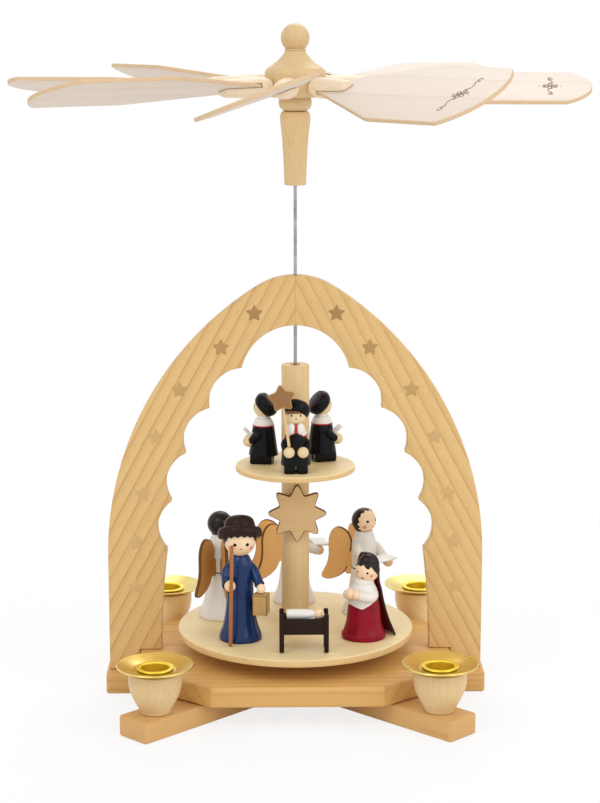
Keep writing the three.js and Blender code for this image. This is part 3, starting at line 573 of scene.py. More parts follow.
def rounded(corners: Rows, closed: bool = True, steps: int = 5) -> np.ndarray:
    """A flat line whose corners are rounded.

    Each corner gives way to the parabola that touches both sides at the distance radius over the
    tangent of half the corner's angle, at most 0.49 of the shorter side.

    Args:
        corners: (x, y, radius) of each corner, or (x, y) where it stays sharp.
        closed: joins the last corner to the first.
        steps: parts of each rounded corner.
    Returns:
        The line's points.
    """
    knots = np.asarray([(*corner, 0.0)[:3] for corner in corners], float)
    place, radius = knots[:, :2], knots[:, 2:]
    back, ahead = np.roll(place, 1, 0) - place, np.roll(place, -1, 0) - place
    near, far = (np.linalg.norm(way, axis=1, keepdims=True) for way in (back, ahead))
    cosine = (back * ahead).sum(1, keepdims=True) / (near * far)
    half = np.arccos(np.clip(cosine, -0.9999, 0.9999)) / 2
    reach = np.minimum(radius / np.tan(half), 0.49 * np.minimum(near, far))
    start, end = place + back / near * reach, place + ahead / far * reach
    t = np.linspace(0, 1, steps + 1)[None, :, None]
    line = (1 - t) ** 2 * start[:, None] + 2 * t * (1 - t) * place[:, None] + t ** 2 * end[:, None]
    if not closed:
        line[0], line[-1] = place[0], place[-1]
    line = line.reshape(-1, 2)
    keep = np.linalg.norm(line - np.roll(line, 1, 0), axis=1) > 1e-6
    keep[0] = True
    return line[keep]


def flowing(knots: Rows, steps: int = 6, closed: bool = False) -> np.ndarray:
    """A smooth line through knots: cubics whose slope at a knot is half its neighbours' chord.

    Args:
        knots: points of any dimension.
        steps: parts between two knots.
        closed: joins the last knot to the first.
    Returns:
        The line's points, the knots among them.
    """
    p = np.asarray(knots, float)
    if closed:
        a, b, c, d = (np.roll(p, k, 0)[:, None] for k in (1, 0, -1, -2))
    else:
        q = np.vstack([2 * p[0] - p[1], p, 2 * p[-1] - p[-2]])
        a, b, c, d = q[:-3, None], q[1:-2, None], q[2:-1, None], q[3:, None]
    t = np.linspace(0, 1, steps, endpoint=False)[None, :, None]
    line = 0.5 * (2 * b + (c - a) * t + (2 * a - 5 * b + 4 * c - d) * t ** 2
                  + (3 * b - a - 3 * c + d) * t ** 3).reshape(-1, p.shape[1])
    return line if closed else np.vstack([line, p[-1]])


def arc(centre: Pair, radius: float, start: float, end: float, steps: int) -> np.ndarray:
    """Points of a round arc from one angle to another, both ends included."""
    angle = np.radians(np.linspace(start, end, steps + 1))
    return np.array(centre) + radius * np.stack([np.cos(angle), np.sin(angle)], axis=1)


def bulge(a: Sequence[float], b: Sequence[float], rise: float, steps: int) -> np.ndarray:
    """A round arc over a chord: its radius is chord^2 / (8 rise) + rise / 2.

    Args:
        a, b: the chord's ends.
        rise: how far the arc stands off the chord, to the left.
        steps: parts of the arc.
    Returns:
        The arc's points but for its ends.
    """
    a, b = np.asarray(a, float), np.asarray(b, float)
    chord = np.linalg.norm(b - a)
    radius = chord ** 2 / (8 * rise) + rise / 2
    normal = np.array([a[1] - b[1], b[0] - a[0]]) / chord
    centre = (a + b) / 2 + normal * (rise - radius)
    first, last = (math.atan2(*(p - centre)[::-1]) for p in (a, b))
    last -= math.tau * (last > first)
    angle = np.linspace(first, last, steps + 1)[1:-1]
    return centre + radius * np.stack([np.cos(angle), np.sin(angle)], axis=1)


def turned(profile: Rows, coat: int | np.ndarray = 0,
           segments: int = SEGMENTS) -> Surface:
    """A profile of (radius r, height h) carried once round Z: x = r cos a, y = r sin a, z = h.

    Args:
        profile: rows of radius and height.
        coat: one coat, or one for each part of the profile.
        segments: columns round the axis.
    Returns:
        The skin.
    """
    line = np.asarray(profile, float)
    angle = np.linspace(0, math.tau, segments, endpoint=False)
    r, h = line[:, :1], line[:, 1:2]
    points = np.stack([r * np.cos(angle), r * np.sin(angle), h + 0 * angle], axis=-1)
    return grid(points, coat)


def lathed(corners: Rows, coat: int = 0, segments: int = SEGMENTS) -> Surface:
    """A turned piece whose profile corners are rounded; it opens and closes on the axis."""
    return turned(rounded(corners, closed=False), coat, segments)


def ringed(corners: Rows, steps: int = 5) -> Surface:
    """A turned ring whose closed profile has rounded corners."""
    line = rounded(corners, steps=steps)
    return turned(np.vstack([line, line[:1]]))


def ball(radius: float, coat: int = 0) -> Surface:
    """A ball: its profile is the half circle r = R cos e, h = R sin e.

    Args:
        radius: R.
        coat: its coat.
    Returns:
        The skin, centred on the origin.
    """
    rise = np.radians(np.linspace(-90, 90, 31))
    line = radius * np.stack([np.cos(rise), np.sin(rise)], axis=1)
    line[[0, -1], 0] = 0
    return turned(line, coat, 56)


def board(outline: np.ndarray, low: float, high: float, edge: float, coat: int = 0,
          side: int | None = None, steps: int = 3) -> Surface:
    """A flat board: a quarter-round edge profile carried round an outline, with two flat faces.

    A ring at the phase p of the edge is inset by edge (1 - sin p) along the outline's mitred
    normals and lies edge (1 - cos p) above the lower face, and the same below the upper one.

    Args:
        outline: points of the flat outline in X and Y.
        low, high: heights of the two faces.
        edge: radius of the rounded edge.
        coat, side: coats of the faces and of the sides.
        steps: faces over one rounded edge.
    Returns:
        The closed skin.
    """
    line = np.asarray(outline, float)
    ahead = np.roll(line, -1, 0)
    if (line[:, 0] * ahead[:, 1] - line[:, 1] * ahead[:, 0]).sum() < 0:
        line = line[::-1]
        ahead = np.roll(line, -1, 0)
    way = (ahead - line) / np.linalg.norm(ahead - line, axis=1, keepdims=True)
    out = np.stack([way[:, 1], -way[:, 0]], axis=1)
    before = np.roll(out, 1, 0)
    mitre = (out + before) / np.maximum(1 + (out * before).sum(1, keepdims=True), 0.35)
    phase = np.linspace(0, math.pi / 2, steps + 1)
    inset, rise = edge * (1 - np.sin(phase)), edge * (1 - np.cos(phase))
    insets = np.concatenate([inset, inset[::-1]])[:, None, None]
    heights = np.concatenate([low + rise, high - rise[::-1]])[:, None, None]
    rings = np.concatenate([line - insets * mitre, heights + 0 * line[None, :, :1]], axis=2)
    count, rows = len(line), len(insets)
    sides = grid(rings, coat if side is None else side)
    caps = np.concatenate([np.arange(count)[::-1], np.arange(count) + (rows - 1) * count])
    return Surface(sides.points, np.concatenate([sides.corners, caps]),
                   np.concatenate([sides.sizes, [count, count]]),
                   np.concatenate([sides.coats, [coat, coat]]))


def rectangle(x: float, y: float) -> np.ndarray:
    """The corners of a rectangle round the origin, counterclockwise."""
    return np.array([(-x, -y), (x, -y), (x, y), (-x, y)]) / 2


def block(x: float, y: float, z: float, edge: float, coat: int = 0) -> Surface:
    """A block standing on z = 0, centred on the axis, all its edges rounded."""
    return board(rounded([(*corner, edge) for corner in rectangle(x, y)], steps=4), 0, z, edge,
                 coat)


def room(x: float, y: float, z: float) -> Surface:
    """A sharp block standing on z = 0, for cutting."""
    return board(rectangle(x, y), 0, z, 0, steps=1)


def tube(path: np.ndarray, radii: Sequence[float], coat: int = 0, segments: int = 32) -> Surface:
    """A round tube along a path: each point's circle stands square to the path's slope there.

    Args:
        path: rows of x, y and z.
        radii: the circle's radius at each row.
        coat: its coat.
        segments: columns round the path.
    Returns:
        The skin, open at its ends unless the radii are 0 there.
    """
    way = np.gradient(path, axis=0)
    way /= np.linalg.norm(way, axis=1, keepdims=True)
    span = path[-1] - path[0]
    helper = np.eye(3)[np.argmin(np.abs(span))]
    side = np.cross(way, helper)
    side /= np.linalg.norm(side, axis=1, keepdims=True)
    up = np.cross(side, way)
    angle = np.linspace(0, math.tau, segments, endpoint=False)[None, :, None]
    circle = side[:, None] * np.cos(angle) + up[:, None] * np.sin(angle)
    return grid(path[:, None] + np.asarray(radii, float)[:, None, None] * circle, coat)


def limb(knots: Rows, radii: Sequence[float], coat: int = 0) -> Surface:
    """A closed sleeve or stick: a tube on the smooth line through knots, its radii flowing too.

    Args:
        knots: points of the middle line.
        radii: the radius at each knot.
        coat: its coat.
    Returns:
        The skin, closed by a flat round at each end.
    """
    both = flowing([(*knot, radius) for knot, radius in zip(knots, radii)], 8)
    path, width = both[:, :3], both[:, 3]
    path = np.vstack([path[0], path, path[-1]])
    path[0] -= (path[2] - path[1]) * 0.01
    path[-1] += (path[-2] - path[-3]) * 0.01
    return tube(path, np.concatenate([[0], width, [0]]), coat)


def bearings() -> np.ndarray:
    """The angle of every column from the front (-Y), from -180 to 180, positive towards +X."""
    angle = np.linspace(0, FULL_TURN, SEGMENTS, endpoint=False)
    return (angle + 90 + 180) % FULL_TURN - 180


def spot(ball_radius: float, azimuth: float, rise: float, size: float, coat: int,
         proud: float) -> Surface:
    """A drop of paint on a ball: a lens that stands proud (1 - q^2) at the share q of its radius.

    Args:
        ball_radius: radius of the ball, whose centre is the origin.
        azimuth, rise: where the drop sits, from the front and from level.
        size: radius of the drop.
        coat: its coat.
        proud: how far its middle stands out.
    Returns:
        The closed lens, part of it inside the ball.
    """
    share = np.linspace(0, 1, 7)
    polar = share * size / ball_radius
    way = np.stack([np.sin(polar), np.cos(polar)])
    outer = (ball_radius - SUNK + proud * (1 - share ** 2)) * way
    inner = (ball_radius - HIDDEN) * way
    drop = turned(np.concatenate([outer, inner[:, ::-1]], axis=1).T, coat, 28)
    return drop.placed(spin(Axis.Z, azimuth), spin(Axis.X, 90 - rise))


def skull_cap(ball_radius: float, thick: float, edge: np.ndarray, tilt: float,
              coat: int) -> Surface:
    """Hair or a cap on a ball: the polar angle runs from the pole to edge(a) on every bearing a.

    Args:
        ball_radius: radius of the ball, whose centre is the origin.
        thick: how far the cap stands out, thinning to nothing by its edge.
        edge: polar angle of the edge for every column of bearings().
        tilt: how far the pole leans to the back.
        coat: its coat.
    Returns:
        The closed cap, its inner skin inside the ball.
    """
    share = np.linspace(0, 1, 22)[:, None]
    polar = np.radians(edge)[None, :] * share
    outer = ball_radius - SUNK + thick * np.sqrt(np.clip(1 - share ** 8, 0, 1)) + 0 * polar
    polar = np.concatenate([polar, polar[::-1]])
    radius = np.concatenate([outer, np.full_like(outer, ball_radius - HIDDEN)])
    angle = np.linspace(0, math.tau, edge.size, endpoint=False)[None, :]
    points = radius[..., None] * np.stack([np.sin(polar) * np.cos(angle),
                                           np.sin(polar) * np.sin(angle),
                                           np.cos(polar) + 0 * angle], axis=-1)
    return grid(points, coat).placed(spin(Axis.X, -tilt))


def band(profile: np.ndarray, low: float | np.ndarray, high: float | np.ndarray, proud: float,
         coat: int, rings: int) -> Surface:
    """A strip of paint or cloth round a turned body.

    Its radius is the body's own plus proud (1 - (2q - 1)^8) at the share q of its height.

    Args:
        profile: the body's rows of radius and height, from the foot up.
        low, high: the strip's heights, or one for every column of bearings().
        proud: how far it stands out.
        coat: its coat.
        rings: rows from low to high.
    Returns:
        The closed strip, its inner skin inside the body.
    """
    share = np.linspace(0, 1, rings)[:, None]
    angle = np.linspace(0, math.tau, SEGMENTS, endpoint=False)[None, :]
    height = low + (high - low) * share + 0 * angle
    radius = np.interp(height, profile[:, 1], profile[:, 0])
    outer = radius - SUNK + proud * (1 - (2 * share - 1) ** 8)
    height = np.concatenate([height, height[::-1], height[:1]])
    radius = np.concatenate([outer, radius[::-1] - HIDDEN, outer[:1]])
    return grid(np.stack([radius * np.cos(angle), radius * np.sin(angle), height], axis=-1), coat)


def shell(points: np.ndarray, thick: float, coat: int = 0, inside: int | None = None) -> Surface:
    """A sheet with a thickness: the grid, a copy moved inwards along its normals, and the rims.

    Args:
        points: rows x columns x 3, the outer face.
        thick: the thickness.
        coat, inside: coats of the outer face with the rims, and of the inner face.
    Returns:
        The closed skin.
    """
    across, along = np.gradient(points, axis=1), np.gradient(points, axis=0)
    normal = np.cross(across, along)
    normal /= np.maximum(np.linalg.norm(normal, axis=2, keepdims=True), 1e-9)
    inner = points - thick * normal
    rims = [np.stack([inner[0], points[0]]), np.stack([points[-1], inner[-1]]),
            np.stack([points[:, 0], inner[:, 0]]), np.stack([inner[:, -1], points[:, -1]])]
    return merged([grid(points, coat, around=False),
                   grid(inner[::-1], coat if inside is None else inside, around=False),
                   *(grid(rim, coat, around=False) for rim in rims)])


def star_outline(points: int, outer: float, inner: float, tip: float) -> np.ndarray:
    """A star's outline with rounded points, one of them up, and soft inner corners.

    Args:
        points: how many points it has.
        outer, inner: radii of its points and of the corners between them.
        tip: the rounding of a point; the corners between have 0.6 of it.
    Returns:
        The outline.
    """
    knots = []
    for i in range(2 * points):
        radius = inner if i % 2 else outer
        knots.append((*on_circle(radius, 90 + 180 / points * i), tip * (0.6 if i % 2 else 1)))
    return rounded(knots, steps=7)


# Pieces

@dataclass(frozen=True)
class Piece:
    """One visible part: its skins and coats, the node that it stands for and its body.

    The cutters are taken out of the first skin only. An edge sharper than CREASE stays sharp.
    """
    node: str
    body: str
    slot: Slot
    skins: tuple[Surface, ...]
    coats: tuple[Finish, ...]
    cutters: tuple[Surface, ...] = ()

    def mesh(self, name: str, skins: Sequence[Surface]) -> Mesh:
        """The skins as one mesh in metres, faces outwards, with poles and seams merged.

        Args:
            name: the mesh's name.
            skins: closed skins in millimetres.
        Returns:
            The mesh, smooth but for its flat caps.
        """
        skin = merged([skin.outwards() for skin in skins])
        made = bpy.data.meshes.new(name)
        made.vertices.add(len(skin.points))
        made.loops.add(len(skin.corners))
        made.polygons.add(len(skin.sizes))
        made.vertices.foreach_set("co", (skin.points * MM).astype(np.float32).ravel())
        made.loops.foreach_set("vertex_index", skin.corners.astype(np.int32))
        starts = np.cumsum(skin.sizes) - skin.sizes
        made.polygons.foreach_set("loop_start", starts.astype(np.int32))
        made.polygons.foreach_set("loop_total", skin.sizes.astype(np.int32))
        made.polygons.foreach_set("material_index", skin.coats.astype(np.int32))
        made.polygons.foreach_set("use_smooth", skin.sizes <= 4)
        made.update(calc_edges=True)
        work = bmesh.new()
        work.from_mesh(made)
        bmesh.ops.remove_doubles(work, verts=work.verts, dist=MERGED)
        work.to_mesh(made)
        work.free()
        return made

    def build(self) -> Object:
        """Makes the object, cuts it, dresses it and hands it to the frame.

        Returns:
            The object.
        """
        name = f"{self.node}.{self.slot.value}"
        whole = self.skins[:1] if self.cutters else self.skins
        made = bpy.data.objects.new(name, self.mesh(name, whole))
        bpy.context.scene.collection.objects.link(made)
        for coat in self.coats:
            made.data.materials.append(coat.material())
        for cutter in self.cutters:
            self.cut(made, cutter)
        if self.cutters and self.skins[1:]:
            work = bmesh.new()
            work.from_mesh(made.data)
            work.from_mesh(self.mesh("rest", self.skins[1:]))
            work.to_mesh(made.data)
            work.free()
        made.data.set_sharp_from_angle(angle=math.radians(CREASE))
        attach(made, self.body)
        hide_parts(self.node)
        return made

    def cut(self, made: Object, cutter: Surface) -> None:
        """Takes a closed cutter out of the object's mesh.

        Args:
            made: the object.
            cutter: the skin of what is taken out.
        """
        tool = bpy.data.objects.new("cutter", self.mesh("cutter", [cutter]))
        bpy.context.scene.collection.objects.link(tool)
        step = made.modifiers.new("cut", "BOOLEAN")
        step.operation, step.solver, step.object = "DIFFERENCE", "EXACT", tool
        shaped = bpy.data.meshes.new_from_object(
            made.evaluated_get(bpy.context.evaluated_depsgraph_get()))
        made.modifiers.clear()
        old, made.data = made.data, shaped
        bpy.data.meshes.remove(old)
        bpy.data.objects.remove(tool)


# Base

@dataclass(frozen=True)
class Base:
    """Two crossed foot slats, two end feet, the eight-sided board and the brass bearing."""
    thickness: float = 11
    slat_length: float = 241
    slat_width: float = 21
    slat_angle: float = 45
    slat_edge: float = 1.0
    slat_corner: float = 2.2
    lap_across: float = 60
    foot_inner: float = 36.35
    foot_reach: float = 103.6
    foot_width: float = 27
    glue_gap: float = 0.2
    half_length: float = 85
    half_depth: float = 69.5
    front_half_edge: float = 45
    side_half_edge: float = 38
    board_corner: float = 2.5
    board_edge: float = 1.6
    recess_depth: float = 5
    bearing_radius: float = 4
    bearing_floor: float = 17.5
    bearing_height: float = 7
    bearing_bore: float = 1.35
    bearing_cup: Pair = (3.3, 2.7)

    def strip(self, start: float, end: float, width: float) -> Surface:
        """A board along X with rounded corners, on the floor.

        Args:
            start, end: where it begins and ends.
            width: its width.
        Returns:
            The closed skin.
        """
        corners = [(x, side * width / 2, self.slat_corner) for x, side in (
            (start, -1), (end, -1), (end, 1), (start, 1))]
        return board(rounded(corners, steps=6), 0, self.thickness, self.slat_edge)

    def pieces(self) -> Iterator[Piece]:
        """The base's pieces, from the floor up."""
        half, thick = self.slat_length / 2, self.thickness
        for name, turn, low in (("lower", self.slat_angle, (thick - FIT) / 2),
                                ("upper", -self.slat_angle, -PAST)):
            slat = self.strip(-half, half, self.slat_width)
            lap = room(self.slat_width + 2 * FIT, self.lap_across, (thick + FIT) / 2 + PAST)
            wood = pine(f"{name} foot slat", (0, 0, turn), (-60, 2), 1.9, wobble=3.0,
                        pale="#d8ac6f", late="#b5793c", contrast=0.6)
            yield Piece(f"foot_slat_{name}", "base", Slot.PINE, (slat.placed(spin(Axis.Z, turn)),),
                        (wood,), (lap.placed(spin(Axis.Z, turn), shift(0, 0, low)),))
        for name, turn in (("right", 0), ("left", 180)):
            foot = self.strip(self.foot_inner, self.foot_reach, self.foot_width)
            wood = pine(f"{name} end foot", (0, 0, turn), (-40, 34), 2.4, wobble=3.0,
                        pale="#d8aa69", late="#b0763a", contrast=0.7)
            yield Piece(f"end_foot_{name}", "base", Slot.PINE,
                        (foot.placed(spin(Axis.Z, turn)),), (wood,))
        yield self.top_board()
        yield self.bearing()

    def top_board(self) -> Piece:
        """The eight-sided board, with a recess for the bearing.

        Returns:
            The piece.
        """
        low = self.thickness + self.glue_gap
        top, across = low + self.thickness, self.bearing_radius + FIT
        corners = [(self.half_length, -self.side_half_edge),
                   (self.half_length, self.side_half_edge),
                   (self.front_half_edge, self.half_depth),
                   (-self.front_half_edge, self.half_depth)]
        corners += [(-x, -y) for x, y in corners]
        outline = rounded([(*corner, self.board_corner) for corner in corners])
        floor = top - self.recess_depth
        recess = lathed([(0, floor), (across, floor), (across, top + PAST), (0, top + PAST)],
                        segments=48)
        wood = pine("base board", (4, 0, 0), (12, -34), 5.2, wobble=3.4, pale="#dcae68",
                    late="#bf823a", contrast=0.6)
        return Piece("base_board", "base", Slot.PINE,
                     (board(outline, low, top, self.board_edge, steps=5),), (wood,), (recess,))

    def bearing(self) -> Piece:
        """The brass cup that the spindle's point turns in.

        Returns:
            The piece.
        """
        r, bore, (rim, middle) = self.bearing_radius, self.bearing_bore, self.bearing_cup
        floor, top = self.bearing_floor, self.bearing_floor + self.bearing_height
        cup = lathed([(0, floor), (r, floor, 0.6), (r, top, 0.6), (bore, top, 0.2),
                      (bore, floor + rim), (0, floor + middle)])
        return Piece("spindle_bearing", "base", Slot.BRASS, (cup,), (BRASS_BEARING,))


@dataclass(frozen=True)
class Arch:
    """Two mitred pine halves with scalloped inner edges and a row of stamped stars on each."""
    thickness: float = 9
    half_span: float = 102
    spring_height: float = 75
    side_radius: float = 174.5
    top_radius: float = 38
    rim: float = 29.3
    rim_growth: float = 0.75
    scallops: int = 5
    first_cusp: float = 45.8
    cusp_step: float = 11.1
    scallop_rise: float = 6.3
    crown_rise: float = 23
    leg_rise: float = 0.8
    leg_width: float = 28.6
    edge: float = 0.7
    mitre: float = 0.03
    seam: float = 0.3
    foot_top: float = 22.4
    foot_bottom: float = 11.2
    notch: float = 85.3
    bore: float = 1.35
    bore_foot: float = 150
    bore_top: float = 260
    star_radius: float = 5.0
    star_inner: float = 0.52
    star_depth: float = 0.3
    star_proud: float = 0.06
    stars: Line = ((21.9, 208.6), (39.8, 190.1), (62.2, 167.2), (75, 141.4), (82.8, 109.8),
                   (86, 82.9), (87.2, 57.8))

    def outline(self) -> np.ndarray:
        """The right half in X and Z: out along the foot, up the side arc, down the scallops.

        Returns:
            The outline's points.
        """
        centre = (self.half_span - self.side_radius, self.spring_height)
        rise = math.sqrt((self.side_radius - self.top_radius) ** 2 - centre[0] ** 2)
        tangent = math.degrees(math.atan2(rise, -centre[0]))
        leg = (self.half_span - self.leg_width, self.foot_top + self.leg_rise)
        cusps = [arc(centre, self.side_radius - self.rim - self.rim_growth * i,
                     self.first_cusp - self.cusp_step * i, 0, 1)[0] for i in range(self.scallops)]
        crown = bulge((-cusps[0][0], cusps[0][1]), cusps[0], self.crown_rise, 48)
        line = [np.array([(leg[0], self.foot_top), (self.notch, self.foot_top),
                          (self.notch, self.foot_bottom), (self.half_span, self.foot_bottom)]),
                arc(centre, self.side_radius, 0, tangent, 60),
                arc((0, centre[1] + rise), self.top_radius, tangent, 90, 12)[1:-1],
                np.array([(-self.edge, centre[1] + rise + self.top_radius),
                          (-self.edge, cusps[0][1] + self.crown_rise)]),
                crown[crown[:, 0] > self.seam]]
        rises = [self.scallop_rise] * (self.scallops - 1) + [self.leg_rise]
        for cusp, following, height in zip(cusps, [*cusps[1:], leg], rises):
            line += [cusp[None], bulge(cusp, following, height, 18)]
        return np.vstack([*line, [leg]])

    def pieces(self) -> Iterator[Piece]:
        """Both halves, bored for the spindle."""
        hole = lathed([(0, self.bore_foot), (self.bore, self.bore_foot), (self.bore, self.bore_top),
                       (0, self.bore_top)], segments=32)
        half = self.thickness / 2
        star = star_outline(5, self.star_radius, self.star_radius * self.star_inner, 0.5)
        for name, side, turn, grain in (("right", 1, 0, 62), ("left", -1, 180, 118)):
            shape = board(self.outline(), -half, half, self.edge)
            shape = replace(shape, points=np.maximum(
                shape.points, (self.mitre, -math.inf, -math.inf)))
            skins = [shape.placed(spin(Axis.Z, turn), spin(Axis.X, 90))]
            for i, (x, z) in enumerate(self.stars):
                stamp = board(star, half - self.star_depth, half + self.star_proud, 0.05, 1 + i)
                skins.append(stamp.placed(shift(side * x, 0, z), spin(Axis.X, 90)))
            wood = pine(f"{name} arch half", (0, grain, 0), (4, 210), 6.2, wobble=3.4,
                        pale="#deba7e", late="#b47c3c", contrast=0.66)
            yield Piece(f"arch_{name}", "base", Slot.PINE, tuple(skins), (wood, *ARCH_STARS),
                        (hole,))


@dataclass(frozen=True)
class CandleHolder:
    """A turned beech cup with a spun brass drip dish and a brass candle socket."""
    name: str
    bearing: float
    reach: float = 104
    foot: float = 11.2
    height: float = 22
    foot_radius: float = 8
    top_radius: float = 13.9
    waist_share: float = 0.06
    shoulder_share: float = 0.22
    bore_depth: float = 14
    candle: float = 14.5
    wall: float = 0.8
    gap: float = 0.2
    bowl_share: float = 0.55
    dish_radius: float = 20.2
    dish_rise: float = 2.4
    dish_thickness: float = 0.9
    lip_width: float = 2.4
    lip_height: float = 0.9

    def pieces(self) -> Iterator[Piece]:
        """Cup, dish and socket."""
        x, y = on_circle(self.reach, self.bearing)
        place = shift(x, y, 0)
        top, socket = self.foot + self.height, self.candle / 2 + self.wall
        bore, pit = socket + FIT, top - self.bore_depth
        swell = np.linspace(0, 1, 18)
        waist, shoulder = (self.foot + self.height * self.waist_share,
                           top - self.height * self.shoulder_share)
        side = np.stack([
            self.foot_radius + (self.top_radius - self.foot_radius) * np.sin(swell * math.pi / 2),
            waist + (shoulder - waist) * swell, 0 * swell], axis=1)
        cup = lathed([(0, self.foot), (self.foot_radius, self.foot, 0.6), *side,
                      (self.top_radius, top, 1.0), (bore, top, 0.4), (bore, pit), (0, pit)])
        # The rear cups, at y > 0, take the paler copy of the finish, with painted light
        yield Piece(f"candle_cup_{self.name}", "base", Slot.BEECH, (cup.placed(place),),
                    (BEECH_CUP_PAINTED_LIGHT if y > 0 else BEECH_CUP,))
        floor, thick, edge = top + self.gap, self.dish_thickness, self.dish_radius
        bowl, rim = edge * self.bowl_share, floor + self.dish_rise
        dish = ringed([(bore, floor, 0.2), (bowl, floor, 6), (edge - 0.5, rim, 0.3),
                       (edge, rim + 0.5, 0.35), (edge - 0.5, rim + thick + 0.25, 0.45),
                       (edge - 1.6, rim + thick - 0.15, 0.8), (bowl, floor + thick, 6),
                       (bore, floor + thick, 0.3)], steps=8)
        # Brass, spun and polished: pale yellow, with fine rings that catch the light
        metal = SpunMetal(f"spun brass, {self.name}", centre=(x, y))
        yield Piece(f"drip_dish_{self.name}", "base", Slot.BRASS, (dish.placed(place),), (metal,))
        seat, mouth = floor + thick + FIT, self.candle / 2
        bottom, rim = seat - self.bore_depth, seat + self.lip_height
        lip = mouth + self.lip_width
        ring = lathed([(0, bottom - self.wall), (socket, bottom - self.wall, 0.4), (socket, seat),
                       (lip, seat, 0.35), (lip, rim, 0.45), (mouth, rim, 0.8),
                       (mouth, bottom, 0.5), (0, bottom)])
        # Brass, drawn and tumbled: a deeper, softer yellow than the dish
        deep = SpunMetal(f"brass socket, {self.name}", "#fbe35a", "#eed044", 0.36, (x, y))
        yield Piece(f"candle_socket_{self.name}", "base", Slot.BRASS, (ring.placed(place),),
                    (deep,))


@dataclass(frozen=True)
class Rotor:
    """The spindle, the turned post, both plates and the star on the post's front."""
    spindle_radius: float = 0.9
    spindle_foot: float = 21.1
    spindle_top: float = 334
    tip: float = 2.5
    post_radius: float = 7.5
    post_foot: float = 28.2
    post_top: float = 180.4
    mouth_radius: float = 2.65
    mouth_depth: float = 6
    bore: float = 1.2
    lower_radius: float = 64.4
    lower_top: float = 35.2
    lower_thickness: float = 4
    upper_radius: float = 32.4
    upper_top: float = 125.3
    upper_thickness: float = 3
    plate_edge: float = 1.1
    rim_depth: float = 0.25
    star_radius: float = 17.5
    star_inner: float = 10.2
    star_thickness: float = 3
    star_aside: float = 0.9
    star_height: float = 100.3

    def plate(self, name: str, radius: float, top: float, thick: float) -> Piece:
        """A round plate with softly rounded edges and a hole for the post.

        Args:
            name: its node.
            radius: its radius.
            top: the height of its upper face.
            thick: its thickness.
        Returns:
            The piece, with the sawn edge as its second coat.
        """
        hole, low, edge = self.post_radius + FIT, top - thick, self.plate_edge
        line = rounded([(hole, low, 0.2), (radius, low, edge), (radius, top, edge),
                        (hole, top, 0.2)])
        line = np.vstack([line, line[:1]])
        middle = (line[1:] + line[:-1]) / 2
        coats = (middle[:, 0] > radius - self.rim_depth).astype(int)
        return Piece(name, "rotor", Slot.BEECH, (turned(line, coats, 160),),
                     (BEECH_PLATE, BEECH_PLATE_EDGE))

    def pieces(self) -> Iterator[Piece]:
        """The turning pieces but the figures and the fan."""
        r, foot, top = self.spindle_radius, self.spindle_foot, self.spindle_top
        rod = lathed([(0, foot), (r, foot + self.tip, 0.3), (r, top - 0.9, 0.4),
                      (r / 2, top, 0.3), (0, top)], segments=40)
        yield Piece("spindle", "rotor", Slot.STEEL, (rod,), (STEEL,))
        r, foot, top = self.post_radius, self.post_foot, self.post_top
        mouth, pit = self.mouth_radius, self.post_top - self.mouth_depth
        post = ringed([(self.bore, foot), (r, foot, 0.6), (r, top, 0.7), (mouth, top, 0.3),
                       (mouth, pit), (self.bore, pit)])
        yield Piece("post", "rotor", Slot.BEECH, (post,), (BEECH_TURNED,))
        yield self.plate("lower_plate", self.lower_radius, self.lower_top, self.lower_thickness)
        yield self.plate("upper_plate", self.upper_radius, self.upper_top, self.upper_thickness)
        half = self.star_thickness / 2
        star = board(star_outline(8, self.star_radius, self.star_inner, 2.0), -half, half, 0.35,
                     side=1)
        place = shift(self.star_aside, -self.post_radius - FIT - half, self.star_height)
        yield Piece("post_star", "rotor", Slot.FIBREBOARD, (star.placed(place, spin(Axis.X, 90)),),
                    (FIBRE_STAR, BURNT))


# Figures

@dataclass(frozen=True)
class Stand:
    """Where a figure stands: at a radius, on a bearing, facing a bearing, at its feet's height."""
    radius: float
    bearing: float
    facing: float
    height: float

    def place(self, skin: Surface) -> Surface:
        """A skin made at the origin, facing -Y, brought to the stand."""
        x, y = on_circle(self.radius, self.bearing)
        return skin.placed(shift(x, y, self.height), spin(Axis.Z, self.facing + 90))

    def placed(self, skins: Sequence[Surface]) -> tuple[Surface, ...]:
        """Several skins brought to the stand."""
        return tuple(self.place(skin) for skin in skins)


LOWER_FLOOR = 35.4       # the lower plate's top and the glue under the figures
UPPER_FLOOR = 125.5      # the same on the upper plate


def widened(line: Line, radius: float, rise: float = 0) -> list[Pair]:
    """A profile of (share of a radius, height) as (radius, height), lifted by rise."""
    return [(share * radius, rise + height) for share, height in line]


def silhouette(foot: Rows, side: Rows, top: float) -> np.ndarray:
    """A turned body's profile: out from the axis, round the foot, up the side, and to the axis."""
    return np.vstack([[(0, foot[0][1])], rounded(foot, False), flowing(side), [(0, top)]])


def doll_face(radius: float, centre: float, coats: dict[str, int], eye: float = 1.0,
              spread: float = 23, rise: float = -5, nose: float = 0.45, drop: float = 16,
              cheek: float = 1.5, cheek_place: Pair = (21, 16)) -> list[Surface]:
    """A doll's face on a ball: two dark eyes, a small dot under them, and two rosy cheeks.

    Args:
        radius, centre: the head's radius and the height of its middle.
        coats: the coats of eye, nose and cheek.
        eye, nose, cheek: radii of the painted dots; no cheeks at 0.
        spread, rise: bearing and rise of the eyes.
        drop: how far below the eyes the dot sits, in degrees.
        cheek_place: how far outside and below the eyes the cheeks sit, in degrees.
    Returns:
        The painted dots.
    """
    marks = [spot(radius, side * spread, rise, eye, coats["eye"], 0.06) for side in SIDES]
    marks.append(spot(radius, 0, rise - drop, nose, coats["nose"], 0.06))
    if cheek:
        out, down = cheek_place
        marks += [spot(radius, side * (spread + out), rise - down, cheek, coats["cheek"], 0.03)
                  for side in SIDES]
    return [mark.placed(shift(0, 0, centre)) for mark in marks]


